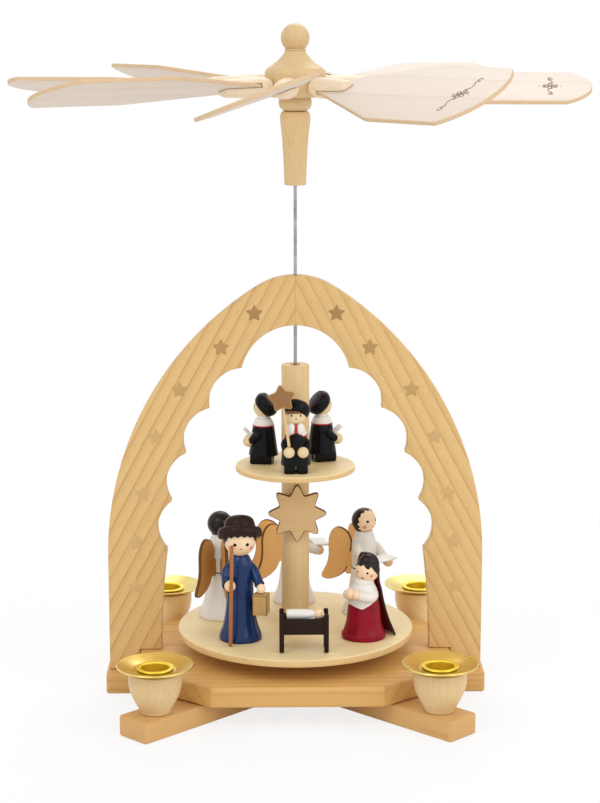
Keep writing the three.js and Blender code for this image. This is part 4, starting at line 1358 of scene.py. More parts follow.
def scallops(count: float, depth: float, power: float = 1.0) -> np.ndarray:
    """A row of scallops round the head: the depth times |cos| of count half waves a turn."""
    return depth * np.abs(np.cos(np.radians(bearings()) * count / 2)) ** power


def between(places: np.ndarray, knots: Line) -> np.ndarray:
    """The values at some places of the straight lines through knots of (place, value)."""
    return np.interp(places, *np.transpose(knots))


@dataclass(frozen=True)
class Father:
    """The shepherd in a long blue coat and a brown hat, with a staff and a box lantern.

    The coat's line has shares of the radius, and the hat's heights are from its brim.
    """
    stand: Stand = Stand(39, 219.8, 275, LOWER_FLOOR)
    radius: float = 11.5
    shoulder: float = 46
    head: float = 8.6
    coat: Line = ((0.955, 3.6), (0.83, 7.4), (0.745, 12), (0.69, 16.6), (0.645, 22), (0.62, 27.6),
                  (0.61, 33), (0.6, 38.6), (0.555, 42), (0.46, 44.8), (0.38, 46.2))
    hat: Line = ((8.2, -1.5), (10.2, -2.1), (11.5, -1.5), (12, 0.4), (11.7, 2.2), (10.7, 3.3),
                 (9.6, 3.1), (8.8, 2.6), (8.45, 3.5), (8.3, 5.2), (7.5, 7.7), (5.8, 9.3),
                 (3.1, 10.1), (0, 10.3))
    hat_tilt: float = 22
    hair: Line = ((0, 0), (50, 1), (75, 16), (180, 16))
    staff_arm: Line = ((-4.4, 0.2, 41), (-6.9, -1.2, 38), (-7.6, -4.2, 33.6), (-7.2, -7.8, 32))
    staff_hand: Triple = (-6.2, -9.5, 31.74)
    staff_place: Pair = (-6.5, 3.265)
    staff_width: float = 1.8
    staff_depth: float = 2.4
    staff_height: float = 55
    staff_lean: float = 1.2
    lantern_arm: Line = ((4.4, 0.2, 41), (6.9, -1.4, 38.0), (8.6, -4.4, 34.2), (9.75, -7.2, 31.5))
    lantern_hand: Triple = (10.4, -8.74, 29.6)
    lantern_drop: float = 1.73
    lantern_width: float = 7.6
    lantern_height: float = 11
    lantern_turn: float = -18
    burnt_line: float = 0.3

    def pieces(self) -> Iterator[Piece]:
        """The figure, the staff and the lantern."""
        r, head = self.radius, self.head
        centre = self.shoulder + head - 0.2
        coat = silhouette([(r - 0.1, 0), (r, 0.9, 0.4), (r, 1.6)], widened(self.coat, r), 46.4)
        brim = head * 0.35
        hat = turned(np.vstack([[(0, brim - 1.4)], flowing(widened(self.hat, 1, brim))]), coat=2)
        fringe = 92 + scallops(15, -7, 0.8) + between(np.abs(bearings()), self.hair)
        skins = [
            turned(coat), ball(head, 1).placed(shift(0, 0, centre)),
            hat.placed(shift(0, 0, centre), spin(Axis.X, -self.hat_tilt)),
            skull_cap(head, 0.45, fringe, self.hat_tilt, 3).placed(shift(0, 0, centre)),
            *doll_face(head, centre, {"eye": 4, "nose": 5, "cheek": 6}),
            limb(self.staff_arm, [2.2, 2.7, 2.8, 2.9]),
            limb([(-7.4, -7.0, 32.2), (-7.2, -8.0, 31.95)], [3.1, 3.15]),
            ball(3.0, 1).placed(shift(*self.staff_hand)),
            limb(self.lantern_arm, [2.2, 2.6, 2.6, 2.5]),
            limb([(9.5, -6.7, 32.0), (9.8, -7.5, 31.3)], [2.7, 2.7]),
            ball(1, 1).placed(shift(*self.lantern_hand), spin(Axis.X, -18), stretch(2.4, 2.2, 2.7)),
        ]
        yield Piece("father", "rotor", Slot.BLUE, self.stand.placed(skins),
                    (BLUE, FLESH, HAT, HAIR, INK, UMBER, ROSE))
        aside, ahead = self.staff_place
        staff = block(self.staff_width, self.staff_depth, self.staff_height, 0.3).placed(
            shift(aside, self.staff_hand[1] - ahead - FIT - self.staff_depth / 2, 0),
            spin(Axis.Y, self.staff_lean))
        yield Piece("father_staff", "rotor", Slot.FIBREBOARD, (self.stand.place(staff),), (STAFF,))
        yield Piece("father_lantern", "rotor", Slot.FIBREBOARD, self.stand.placed(self.lantern()),
                    (FIBRE_LANTERN, BURNT))

    def lantern(self) -> list[Surface]:
        """A box with burnt upright edges and a burnt rim, on a round grip under the hand.

        Returns:
            The skins of the box, its burnt lines and the grip.
        """
        x, y, z = self.lantern_hand
        top = z - self.lantern_drop
        roof = top - 1.2
        w, h, line = self.lantern_width, self.lantern_height, self.burnt_line
        corner = (w - 0.2) / 2
        box = [block(w, w, h, 0.15).placed(shift(0, 0, roof - h)),
               block(w + 0.1, w + 0.1, line, 0.05, 1).placed(shift(0, 0, roof - 0.45)),
               *(block(line, line, h - 0.2, 0.05, 1).placed(
                   shift(sx * corner, sy * corner, roof - h + 0.1))
                 for sx in SIDES for sy in SIDES),
               limb([(0, 0, roof - 0.5), (0, 0, top)], [0.8, 0.8], 1)]
        return [skin.placed(shift(x, y, 0), spin(Axis.Z, self.lantern_turn)) for skin in box]


@dataclass(frozen=True)
class Mother:
    """The kneeling mother: crimson skirt, white bodice, dark hair and a dark mantle at the back.

    The skirt's line has shares of the radius. The level of the bodice's edge and the polar angle
    of the hair's edge are for bearings, and half the mantle's spread is for shares of its height.
    """
    stand: Stand = Stand(43.2, 327.6, 235, LOWER_FLOOR)
    radius: float = 12
    shoulder: float = 31
    head: float = 6.3
    head_place: Pair = (1.5, 1.0)
    skirt: Line = ((0.9, 4.2), (0.84, 6.4), (0.785, 9.3), (0.75, 13), (0.72, 17), (0.66, 21),
                   (0.6, 24.8), (0.5, 28), (0.38, 30.4), (0.32, 31.4))
    bodice: Line = ((-180, 22), (-60, 18.2), (-20, 18.8), (27, 17.2), (70, 20.4), (110, 22),
                    (180, 22))
    hair: Line = ((-180, 115), (-75, 80), (-38, 55), (-12, 60), (7, 49), (20, 62), (35, 72),
                  (46, 66), (52, 58), (66, 80), (88, 101), (100, 112), (180, 120))
    mantle_line: Line = ((17.4, 0.2), (16.2, 3.5), (14.3, 8), (12.3, 14), (10.8, 20), (9.6, 26),
                         (8.4, 31), (8.2, 36), (8.1, 40), (7.0, 43.6), (4.3, 45.8), (0.6, 46.5))
    mantle_spread: Line = ((0, 52), (0.3, 52), (0.55, 56), (0.7, 60), (1, 50))
    mantle_thickness: float = 1.0

    def pieces(self) -> Iterator[Piece]:
        """The figure and the mantle."""
        r, head = self.radius, self.head
        skirt = silhouette([(r - 0.1, 0), (r, 0.7, 0.4), (r, 2.3, 0.5), (0.945 * r, 2.9, 0.3),
                            (0.93 * r, 3.3)], widened(self.skirt, r), 31.5)
        bodice = band(skirt[2:-1], between(bearings(), self.bodice), 31.4, 0.35, 1, 24)
        collar = lathed([(0, 29), (5.6, 29.4, 1.2), (5.2, 31.4, 0.8), (4.2, 32.6, 0.8),
                         (0, 32.8)], 1)
        nape = shift(*self.head_place, self.shoulder + head - 0.6)
        hair = skull_cap(head, 0.5, between(bearings(), self.hair), 0, 3).placed(nape)
        veil = ball(0.82 * head, 3).placed(nape, shift(0, 0.5, 4.1))
        hands = [ball(1, 2).placed(shift(side * 1.7, -10.6 + 0.3 * side, 25.6),
                                   spin(Axis.Z, 20 * side), stretch(2.7, 2.5, 2.5))
                 for side in SIDES]
        arms = [limb([(side * 4.2, 0.4, 26.4), (side * 7.0, -2.6, 23.6), (side * 5.6, -7.2, 24.2),
                      (side * 2.8, -9.4, 25.2)], [2.3, 2.7, 2.7, 2.6], 1) for side in SIDES]
        face = doll_face(head, 0, {"eye": 4, "nose": 5, "cheek": 6}, eye=0.7, spread=28, rise=0,
                         nose=0.8, drop=30, cheek=1.2)
        skins = [turned(skirt), bodice, collar, ball(head, 2).placed(nape), hair, veil, *hands,
                 *arms, *(mark.placed(nape, spin(Axis.Z, 4)) for mark in face)]
        yield Piece("mother", "rotor", Slot.RED, self.stand.placed(skins),
                    (CRIMSON, WHITE, FLESH, HAIR, INK, UMBER, ROSE))
        yield Piece("mother_mantle", "rotor", Slot.NAVY, (self.stand.place(self.mantle()),),
                    (MANTLE, CRIMSON))

    def mantle(self) -> Surface:
        """A sheet round the back: a profile swept over part of a turn, narrowing to the crown.

        Its bearing runs over +-half(h) from straight behind, and its radius and height follow
        one smooth line from the hem to the crown.

        Returns:
            The sheet, with its lining as the second coat.
        """
        line = flowing(self.mantle_line, 5)
        share = np.linspace(0, 1, len(line))
        half = np.radians(between(share, self.mantle_spread))[:, None]
        angle = math.pi / 2 + half * np.linspace(-1, 1, 61)[None, :]
        r, h = line[:, :1], line[:, 1:]
        points = np.stack([r * np.cos(angle), r * np.sin(angle) + 0.2, h + 0 * angle], axis=-1)
        return shell(points, self.mantle_thickness, 0, 1)


@dataclass(frozen=True)
class Crib:
    """The dark-stained crib on four posts, and the swaddled child on its bedding."""
    stand: Stand = Stand(46, 274.7, 270, LOWER_FLOOR)
    length: float = 26
    depth: float = 13
    height: float = 18.3
    floor_share: float = 0.56
    post: float = 2.5
    post_rise: float = 2.6
    wall: float = 1.5
    child: float = 3.2
    child_length: float = 14
    child_head: float = 2.9

    def pieces(self) -> Iterator[Piece]:
        """The crib and the child."""
        w, t = self.post, self.wall
        along, across = self.length / 2 - w / 2, self.depth / 2 - w / 2
        floor = self.height * self.floor_share
        rise = self.height - floor
        skins = [block(2 * along, 2 * across, t, 0.3).placed(shift(0, 0, floor - t / 2))]
        for side in SIDES:
            skins += [block(2 * along, t, rise, 0.4).placed(shift(0, side * across, floor)),
                      block(t, 2 * across, rise, 0.4).placed(shift(side * along, 0, floor))]
            skins += [block(w, w, self.height + self.post_rise, 0.7).placed(
                shift(side * along, end * across, 0)) for end in SIDES]
        yield Piece("crib", "rotor", Slot.STAIN, self.stand.placed(skins), (STAIN,))
        yield Piece("baby", "rotor", Slot.WHITE, self.stand.placed(
            self.baby(along - t / 2 - FIT - self.child_head, floor + t / 2 + FIT)),
            (WHITE, FLESH, INK, SCARLET))

    def baby(self, place: float, bed: float) -> list[Surface]:
        """The swaddled child, lying along X on a block of bedding.

        Args:
            place: where the middle of the head is along X.
            bed: the height of the crib's floor.
        Returns:
            The skins.
        """
        half, level = self.child_length / 2, self.height + self.child * 0.3
        middle = place - half - self.child_head * 0.7
        line = flowing([(0, -half - 1.1), (1.9, -half - 1.05), (2.6, -half - 0.6),
                        (2.85, -half + 1), (2.85, -1), (2.65, half * 0.45), (2.1, half * 0.85),
                        (1.5, half * 1.05), (0, half * 1.15)])
        line[[0, -1], 0] = 0
        swaddle = turned(line, segments=64).placed(shift(middle, 0, level), spin(Axis.Y, 90))
        bedding = block(self.child_length, self.child * 1.2, level - bed, 0.5).placed(
            shift(middle, 0, bed))
        skull = shift(place, 0, level)
        marks = [spot(self.child_head, side * 26, -8, 0.34, coat, 0.06).placed(
            skull, spin(Axis.Y, 90), spin(Axis.X, -38)) for side, coat in ((-1, 2), (1, 2), (0, 3))]
        return [swaddle, bedding, ball(self.child_head, 1).placed(skull), *marks]


@dataclass(frozen=True)
class Angel:
    """A white-gowned angel with a song sheet, and its two fibreboard wings.

    The skirt's line has shares of the radius and the bodice's shares of the torso's. The wing's
    line has shares of its reach and of its height.
    """
    name: str
    stand: Stand
    radius: float = 12
    waist: float = 26
    shoulder: float = 46
    head: float = 6.7
    torso: float = 6.9
    skirt: Line = ((0.93, 4), (0.8, 7.8), (0.71, 13), (0.66, 18.2), (0.6, 23))
    bodice: Line = ((1, 30), (1.02, 35), (0.98, 40), (0.86, 43.4), (0.74, 45.4), (0.7, 47))
    wing_reach: float = 19
    wing_foot: float = 16.3
    wing_height: float = 30.8
    wing_thickness: float = 1.8
    wing_spread: float = 20
    tab_foot: float = 24.8
    tab_height: float = 9
    wing_line: Line = ((0.12, 0.4), (0.2, 0.23), (0.4, 0.09), (0.74, 0), (0.96, 0.01), (0.99, 0.09),
                       (0.83, 0.29), (0.77, 0.47), (0.77, 0.74), (0.68, 0.91), (0.49, 1),
                       (0.25, 0.97), (0.08, 0.86), (0.03, 0.7))

    def pieces(self) -> Iterator[Piece]:
        """The figure and the pair of wings."""
        r, waist, torso, head = self.radius, self.waist, self.torso, self.head
        centre = self.shoulder + head
        body = silhouette([(r - 0.1, 0), (r, 0.9, 0.4), (r - 0.1, 2)],
                          [*widened(self.skirt, r), (torso, waist), *widened(self.bodice, torso)],
                          47.2)
        line = band(body[2:-1], waist - 0.35, waist + 0.35, 0.12, 1, 8)
        turn = np.radians(bearings())
        spikes = (1 - np.abs(np.sin(6.5 * turn))) * (11 + 5 * np.sin(3 * turn + 1))
        hair = skull_cap(head, 0.4, 103 + spikes, 84, 3).placed(shift(0, 0, centre))
        reach, hand = r * 1.1, self.shoulder * 0.66
        arms = []
        for side in SIDES:
            arms += [limb([(side * 4.4, 0, 40.2), (side * 7.2, -2.6, 36.4),
                           (side * 7.2, -7.4, 32.4), (side * 6.4, -11.4, 30.8)],
                          [2.3, 2.7, 2.7, 2.6]),
                     limb([(side * 6.6, -10.6, 31.0), (side * 6.4, -11.6, 30.8)], [2.8, 2.8]),
                     ball(r * 0.23, 2).placed(shift(side * r * 0.5, -reach, hand))]
        sheet = block(r * 1.25, r * 0.75, 0.9, 0.25, 4).placed(
            shift(0, -reach - r * 0.1, hand + r * 0.25 - 0.2), spin(Axis.X, 4))
        face = doll_face(head, centre, {"eye": 5, "nose": 6, "cheek": 7}, eye=0.85, spread=27,
                         rise=6, nose=0.4, drop=26, cheek=1.4, cheek_place=(15, 28))
        skins = [turned(body), line, ball(head, 2).placed(shift(0, 0, centre)), hair, *arms, sheet,
                 *face]
        slots = [room(2 * torso, self.wing_thickness + 2 * FIT, self.tab_height + 2 * FIT).placed(
            spin(Axis.Z, 90 + side * self.wing_spread), shift(torso, 0, self.tab_foot - FIT))
            for side in SIDES]
        yield Piece(f"angel_{self.name}", "rotor", Slot.WHITE, self.stand.placed(skins),
                    (WHITE, WAIST, FLESH, HAIR, PAPER, INK, UMBER, ROSE), self.stand.placed(slots))
        # The back and right angels' wings take the paler copy of the finish, with painted light
        yield Piece(f"angel_wings_{self.name}", "rotor", Slot.FIBREBOARD,
                    self.stand.placed(self.wings()),
                    (FIBRE_WING if self.name == "left" else FIBRE_WING_PAINTED_LIGHT, BURNT))

    def wings(self) -> list[Surface]:
        """Two flat curled boards and their tabs, spread to either side of straight back.

        Returns:
            A board and a tab for each side.
        """
        root, half = self.torso + FIT, self.wing_thickness / 2
        knots = [(root + self.wing_reach * x, self.wing_foot + self.wing_height * z)
                 for x, z in self.wing_line]
        wing = board(flowing(knots, 7, closed=True), -half, half, 0.3, side=1).placed(
            spin(Axis.X, 90))
        reach = root + self.wing_reach * 0.3
        tab = block(reach, self.wing_thickness - 0.02, self.tab_height, 0.1).placed(
            shift(reach / 2 + 0.2, 0, self.tab_foot))
        return [skin.placed(spin(Axis.Z, 90 + side * self.wing_spread))
                for side in SIDES for skin in (wing, tab)]


class Load(Enum):
    """What a singer carries."""
    STAR = "star"
    BOOK = "book"


@dataclass(frozen=True)
class Singer:
    """A carol singer in a black robe and a black beret, with a star on a stick or an open book.

    The robe's line has shares of the radius and the crown's shares of the beret's. The level of
    the star singer's collar is for bearings from the front.
    """
    name: str
    stand: Stand
    load: Load
    radius: float = 8
    shoe: float = 4.2
    top: float = 24
    head: float = 5.4
    robe: Line = ((0.93, 8), (0.85, 13), (0.775, 17.6), (0.73, 19.4), (0.66, 21.6), (0.54, 23.6),
                  (0.44, 24.8))
    collar: float = 20.6
    star_collar: Line = ((0, 22), (20, 21.6), (42, 19.8), (70, 20.3), (180, 20.6))
    beret: float = 7.1
    crown: Line = ((0, -0.5), (0.6, -0.54), (0.87, -0.38), (1, -0.02), (0.96, 0.22), (0.82, 0.4),
                   (0.5, 0.5), (0.2, 0.53), (0, 0.535))
    tilt: float = 50
    roll: float = 16
    stick_rise: float = 26.1
    lean: float = 8.5
    star: float = 7.2

    def pieces(self) -> Iterator[Piece]:
        """The figure with its book, or the figure and its star."""
        r, head, shoe = self.radius, self.head, self.shoe
        centre = self.top + head + 0.8
        front = self.load is Load.STAR
        body = silhouette([(r - 0.1, shoe), (r, shoe + 0.5, 0.3), (0.985 * r, shoe + 1.2)],
                          widened(self.robe, r), 25)
        away = np.abs(bearings())
        level = between(away, self.star_collar) if front else np.full_like(away, self.collar)
        collar = band(body[2:-1], level, 24.6, 0.3, 1, 20)
        piping = band(body[2:-1], level - 0.35, level + 0.35, 0.42, 2, 8)
        neck = lathed([(0, 24.2), (3.75, 24.2, 0.3), (3.3, 25.8, 0.6), (0, 26.2)], 1)
        shoes = [board(rounded([(-3.0, -6, 1.6), (3.0, -6, 1.6), (3.0, 6, 1.2), (-3.0, 6, 1.2)]),
                       0, shoe + 0.8, 0.7).placed(shift(side * r * 0.42, -r * 0.1, 0))
                 for side in SIDES]
        hand = (r * 0.46, -r * 0.98, self.top * 0.5)
        arms = []
        for side in SIDES:
            arms += [limb([(side * 3.6, 0, 17.8), (side * 5.9, -2.2, 15.6),
                           (side * 5.2, -5.2, 13.2), (side * 4.2, -6.9, 12.3)],
                          [1.7, 2.1, 2.0, 1.9]),
                     ball(r * 0.37, 3).placed(shift(side * hand[0], *hand[1:]))]
        skins = [turned(body), collar, neck, piping, ball(head, 3).placed(shift(0, 0, centre)),
                 *self.beret_skins(centre), *shoes, *arms,
                 *doll_face(head, centre, {"eye": 4, "nose": 2}, eye=0.6, spread=27, rise=11,
                            nose=0.5, drop=17, cheek=0)]
        if front:
            knot = limb([(0, -5.0, 26.5), (0, -5.6, 24.8), (0, -6.2, 22.3)], [0.45, 0.75, 0.6], 2)
            lobes = [ball(1, 1).placed(shift(side * 2.5, -4.4, 24), spin(Axis.Z, 22 * side),
                                       stretch(2.3, 1.8, 3.2)) for side in SIDES]
            fringe = 86 - 7 * np.cos(np.radians(bearings())) + scallops(21, -4)
            skins += [knot, *lobes, skull_cap(head, 0.3, fringe, 8, 5).placed(shift(0, 0, centre))]
        else:
            skins += self.book(hand)
        yield Piece(f"singer_{self.name}", "rotor", Slot.BLACK, self.stand.placed(skins),
                    (BLACK, WHITE, SCARLET, BARE, INK, FRINGE, WINE, PAPER))
        if front:
            yield Piece("singer_star", "rotor", Slot.FIBREBOARD,
                        self.stand.placed(self.star_staff(hand)),
                        (FIBRE_CARRIED, CARRIED_EDGE, STICK))

    def beret_skins(self, centre: float) -> list[Surface]:
        """A soft flat cap on the back of the head, with a wine-red line of piping.

        Args:
            centre: the height of the head's middle.
        Returns:
            The squashed crown and the line; the star singer's lean a little to one side.
        """
        b, head = self.beret, self.head
        if self.load is Load.STAR:
            place, roll = (head * 0.12, head * 0.3, centre + head * 0.62), self.roll
        else:
            place, roll = (0, head * 0.3, centre + head * 0.3), 0
        crown = turned(flowing(b * np.array(self.crown)))
        line = turned(arc((0.78 * b, 0.42 * b), 0.28, 0, 360, 14), 6)
        return [skin.placed(shift(*place), spin(Axis.Y, roll), spin(Axis.X, roll - self.tilt))
                for skin in (crown, line)]

    def book(self, hand: Triple) -> list[Surface]:
        """An open song book: two leaves that rise from the spine across the hands, like a V.

        Args:
            hand: the middle of the left hand.
        Returns:
            The two leaves.
        """
        foot = shift(0, hand[1] + 0.7, hand[2] + 3.0)
        return [block(7.2, 0.5, 5.2, 0.15, 7).placed(foot, spin(Axis.X, side * 46))
                for side in SIDES]

    def star_staff(self, hand: Triple) -> list[Surface]:
        """A rounded five-pointed star on a thin round stick that stands on the hand.

        Args:
            hand: the middle of the left hand; the stick stands on the right one.
        Returns:
            The stick and the star.
        """
        stick = lathed([(0, 0), (0.8, 0, 0.2), (0.6, self.stick_rise, 0.2), (0, self.stick_rise)],
                       2, 24)
        star = board(star_outline(5, self.star * 1.17, self.star * 0.66, 3.0), -0.9, 0.9, 0.3,
                     side=1).placed(shift(0, 0, self.stick_rise), spin(Axis.X, 90))
        foot = shift(-hand[0], hand[1], hand[2] + self.radius * 0.37 + FIT)
        return [skin.placed(foot, spin(Axis.Y, -self.lean)) for skin in (stick, star)]


# Fan

@dataclass(frozen=True)
class Fan:
    """The turned hub with its ball, the sleeve under it, eight stubs and eight plywood blades.

    The lines of the bead, the sleeve and the stubs have shares of a radius, and heights from
    their own foot or top. The bell's radii are from the hub's.
    """
    height: float = 328
    count: int = 8
    first: float = -54.7
    pitches: tuple[float, ...] = (26, 13, 18, 18, 17, 9, 15, 21)
    thickness: float = 2
    root: float = 24.6
    root_half: float = 4.6
    kink: float = 91
    kink_half: float = 28
    shoulder: float = 142
    tip_half: float = 27
    tip_rise: float = 12
    ornament_place: float = 132.5
    stub: float = 5.4
    stub_end: float = 4.7
    stub_length: float = 30
    stub_start: float = 16.8
    stub_line: Line = ((0.93, 2.6), (0.99, 6), (1, 12), (0.965, 18))
    stub_nose: Line = ((1.02, -5), (0.97, -2.2), (0.82, -0.7), (0.5, -0.05))
    slot_past: float = 5
    peg: float = 2.4
    peg_length: float = 7.5
    socket: Pair = (9, 21)
    bore: float = 1.2
    bore_top: float = 6.3
    hub: float = 16
    hub_half: float = 5.5
    bell: Line = ((-0.6, 8.6), (-1.6, 9.6), (-4.2, 11.2), (-6.8, 13.3), (-8.9, 15.7), (-10.3, 17.4))
    neck: float = 4.9
    neck_height: float = 18.4
    bead: float = 8.7
    bead_height: float = 7
    bead_line: Line = ((0.72, 0), (0.93, 1.6), (1, 4), (0.96, 6.2))
    knob: float = 7.5
    sleeve: float = 8
    sleeve_foot: float = 5.8
    sleeve_height: float = 38.6
    sleeve_line: Line = ((0.755, 8), (0.8, 16), (0.87, 24), (0.96, 31), (1, 34.6))
    sleeve_top: Line = ((0.97, -1.7), (0.87, -0.3), (0.7, 0))

    def hub_pieces(self) -> Iterator[Piece]:
        """The hub with its sockets for the stubs, and the sleeve."""
        h, half, neck, high = self.hub, self.hub_half, self.neck, self.neck_height
        low = -half - self.bead_height
        knob = high + math.sqrt(self.knob ** 2 - neck ** 2) + 1
        knob_line = arc((0, knob), self.knob, -52, 90, 30)
        knob_line[-1, 0] = 0
        line = np.vstack([
            [(0, low)],
            flowing([*widened(self.bead_line, self.bead, low), (0.9 * self.bead, -half - 0.1)]),
            rounded([(h * 0.82, -half), (h * 0.94, -half * 0.5, 3), (h, 1, 5), (h, 7.0, 2),
                     (h - 0.5, 8.5)], False),
            flowing([*((h + x, z) for x, z in self.bell), (neck + 0.5, high)]),
            [(neck + 0.9, high + 0.5), (neck + 0.3, high + 1.1)], knob_line])
        bore = lathed([(0, low - PAST), (self.bore, low - PAST), (self.bore, self.bore_top),
                       (0, self.bore_top)], segments=32)
        near, far = self.socket
        sockets = [lathed([(0, near), (self.peg + FIT, near), (self.peg + FIT, far), (0, far)],
                          segments=28).placed(spin(Axis.Z, self.bearing(i)), spin(Axis.Y, 90))
                   for i in range(self.count)]
        up = shift(0, 0, self.height)
        yield Piece("fan_hub", "fan", Slot.BEECH, (turned(line).placed(up),), (BEECH_HUB,),
                    tuple(tool.placed(up) for tool in (bore, *sockets)))
        top, toe = low - FIT, self.sleeve_foot
        foot = top - self.sleeve_height
        side = flowing([(toe, foot + 1.1), *widened(self.sleeve_line, self.sleeve, foot),
                        *widened(self.sleeve_top, self.sleeve, top)])
        line = np.vstack([[(self.bore, foot)],
                          rounded([(toe - 0.5, foot), (toe, foot, 0.7), (toe, foot + 1.1)],
                                  False)[1:-1],
                          side, [(self.bore, top), (self.bore, foot)]])
        yield Piece("hub_sleeve", "fan", Slot.BEECH, (turned(line).placed(up),), (BEECH_TURNED,))

    def bearing(self, number: int) -> float:
        """The bearing of a blade."""
        return self.first + FULL_TURN / self.count * number

    def seat(self, number: int) -> tuple[np.ndarray, ...]:
        """The moves that bring a blade from +X to its place and pitch."""
        return (shift(0, 0, self.height), spin(Axis.Z, self.bearing(number)),
                spin(Axis.X, self.pitches[number]))

    def blade(self) -> Surface:
        """A flat thin board that widens from the root and ends in a shallow round.

        Returns:
            The blade along +X.
        """
        tip = bulge((self.shoulder, self.tip_half), (self.shoulder, -self.tip_half), self.tip_rise,
                    24)[::-1]
        knots = [(self.root, -self.root_half, 0.8), (self.kink, -self.kink_half, 14),
                 (self.shoulder, -self.tip_half, 5), *((x, y, 0) for x, y in tip),
                 (self.shoulder, self.tip_half, 5), (self.kink, self.kink_half, 14),
                 (self.root, self.root_half, 0.8)]
        half = self.thickness / 2
        return board(rounded(knots, steps=6), -half, half, 0.3, side=1)

    def stub_skin(self) -> Surface:
        """The split stub: a peg, a swelling barrel and a rounded nose, turned along X.

        Returns:
            The stub along +X.
        """
        start, s, peg = self.stub_start, self.stub, self.peg
        end, tail = start + self.stub_length, start - self.peg_length
        line = silhouette(
            [(peg - 0.2, tail), (peg, tail + 0.4, 0.2), (peg, start, 0.2), (s * 0.76, start, 0.5),
             (s * 0.84, start + 0.9)],
            [*widened(self.stub_line, s, start), *widened(self.stub_nose, self.stub_end, end)], end)
        return turned(line, segments=64).placed(spin(Axis.Y, 90))

    def pieces(self) -> Iterator[Piece]:
        """The hub, the sleeve, and each stub with its blade."""
        yield from self.hub_pieces()
        slot_start = self.root - FIT
        length = self.stub_start + self.stub_length - slot_start + self.slot_past
        split = room(length, 3 * self.stub, self.thickness + 2 * FIT).placed(
            shift(slot_start + length / 2, 0, -self.thickness / 2 - FIT))
        for i in range(self.count):
            seat, turn = self.seat(i), (self.pitches[i], 0, self.bearing(i))
            # Birch veneer, peeled and glued: pale and even, with wide soft waves of grain
            ply = Wood(f"birch plywood, blade {i + 1}", pale="#dfd1c3", late="#cfbaa2", ring=6.5,
                       turn=turn, pith=(9 - 5 * i, -30 - 4 * i), wobble=4.0, contrast=0.5,
                       fleck="#dcc5a6", fleck_share=0.2)
            yield Piece(f"fan_blade_{i + 1}", f"blade_{i + 1}", Slot.PLYWOOD,
                        tuple(skin.placed(*seat) for skin in (self.blade(), *self.ornament())),
                        (ply, PLY_EDGE, SCORCH))
            wood = replace(BEECH_TURNED, name=f"turned beech, stub {i + 1}", turn=turn,
                           pith=(-14, 6), pale="#ecd9bd", late="#d9b78c")
            yield Piece(f"blade_stub_{i + 1}", f"blade_{i + 1}", Slot.BEECH,
                        (self.stub_skin().placed(*seat),), (wood,), (split.placed(*seat),))

    def ornament(self) -> list[Surface]:
        """Scorched lines across a blade's upper face: a small flower between two curled scrolls.

        A scroll is a wave that ends in a spiral whose radius shrinks evenly over one turn. The
        second scroll is the first one turned by half a turn round the flower.

        Returns:
            A thin tube, half sunk in the blade, for each line.
        """
        turn = np.linspace(0, 1, 16)
        curl = np.radians(-30 - 330 * turn)
        radius = 2.1 * (1 - 0.75 * turn)
        spiral = np.stack([-0.4 + radius * np.cos(curl), 15 + radius * np.sin(curl)], axis=1)
        wave = flowing([(-1.6, 4.2), (0.8, 6.2), (0.4, 9.4), (-1.4, 12), (0.2, 13.4)], 5)
        leaf = np.radians(np.linspace(0, 360, 17))
        leaf = np.stack([1.9 * np.cos(leaf), 0.9 * np.sin(leaf)], axis=1)
        lines = [np.vstack([wave, spiral[1:]])]
        for angle in np.radians((30, 90, 150)):
            way = np.array([math.cos(angle), math.sin(angle)])
            lines.append(leaf @ np.array([way, (-way[1], way[0])]) + 2.5 * way)
        lines.append(np.array([(4.6, -0.1), (5.5, 0.1), (6.6, 0)]))
        skins = []
        for line in lines:
            for side in SIDES[::-1]:
                flat = np.array([self.ornament_place, 0.0]) + side * line
                path = np.column_stack([flat, np.full(len(flat), self.thickness / 2 - 0.08)])
                width = np.full(len(flat), 0.3)
                width[[0, -1]] = 0
                skins.append(tube(path, width, 2, 8))
        return skins


# Studio

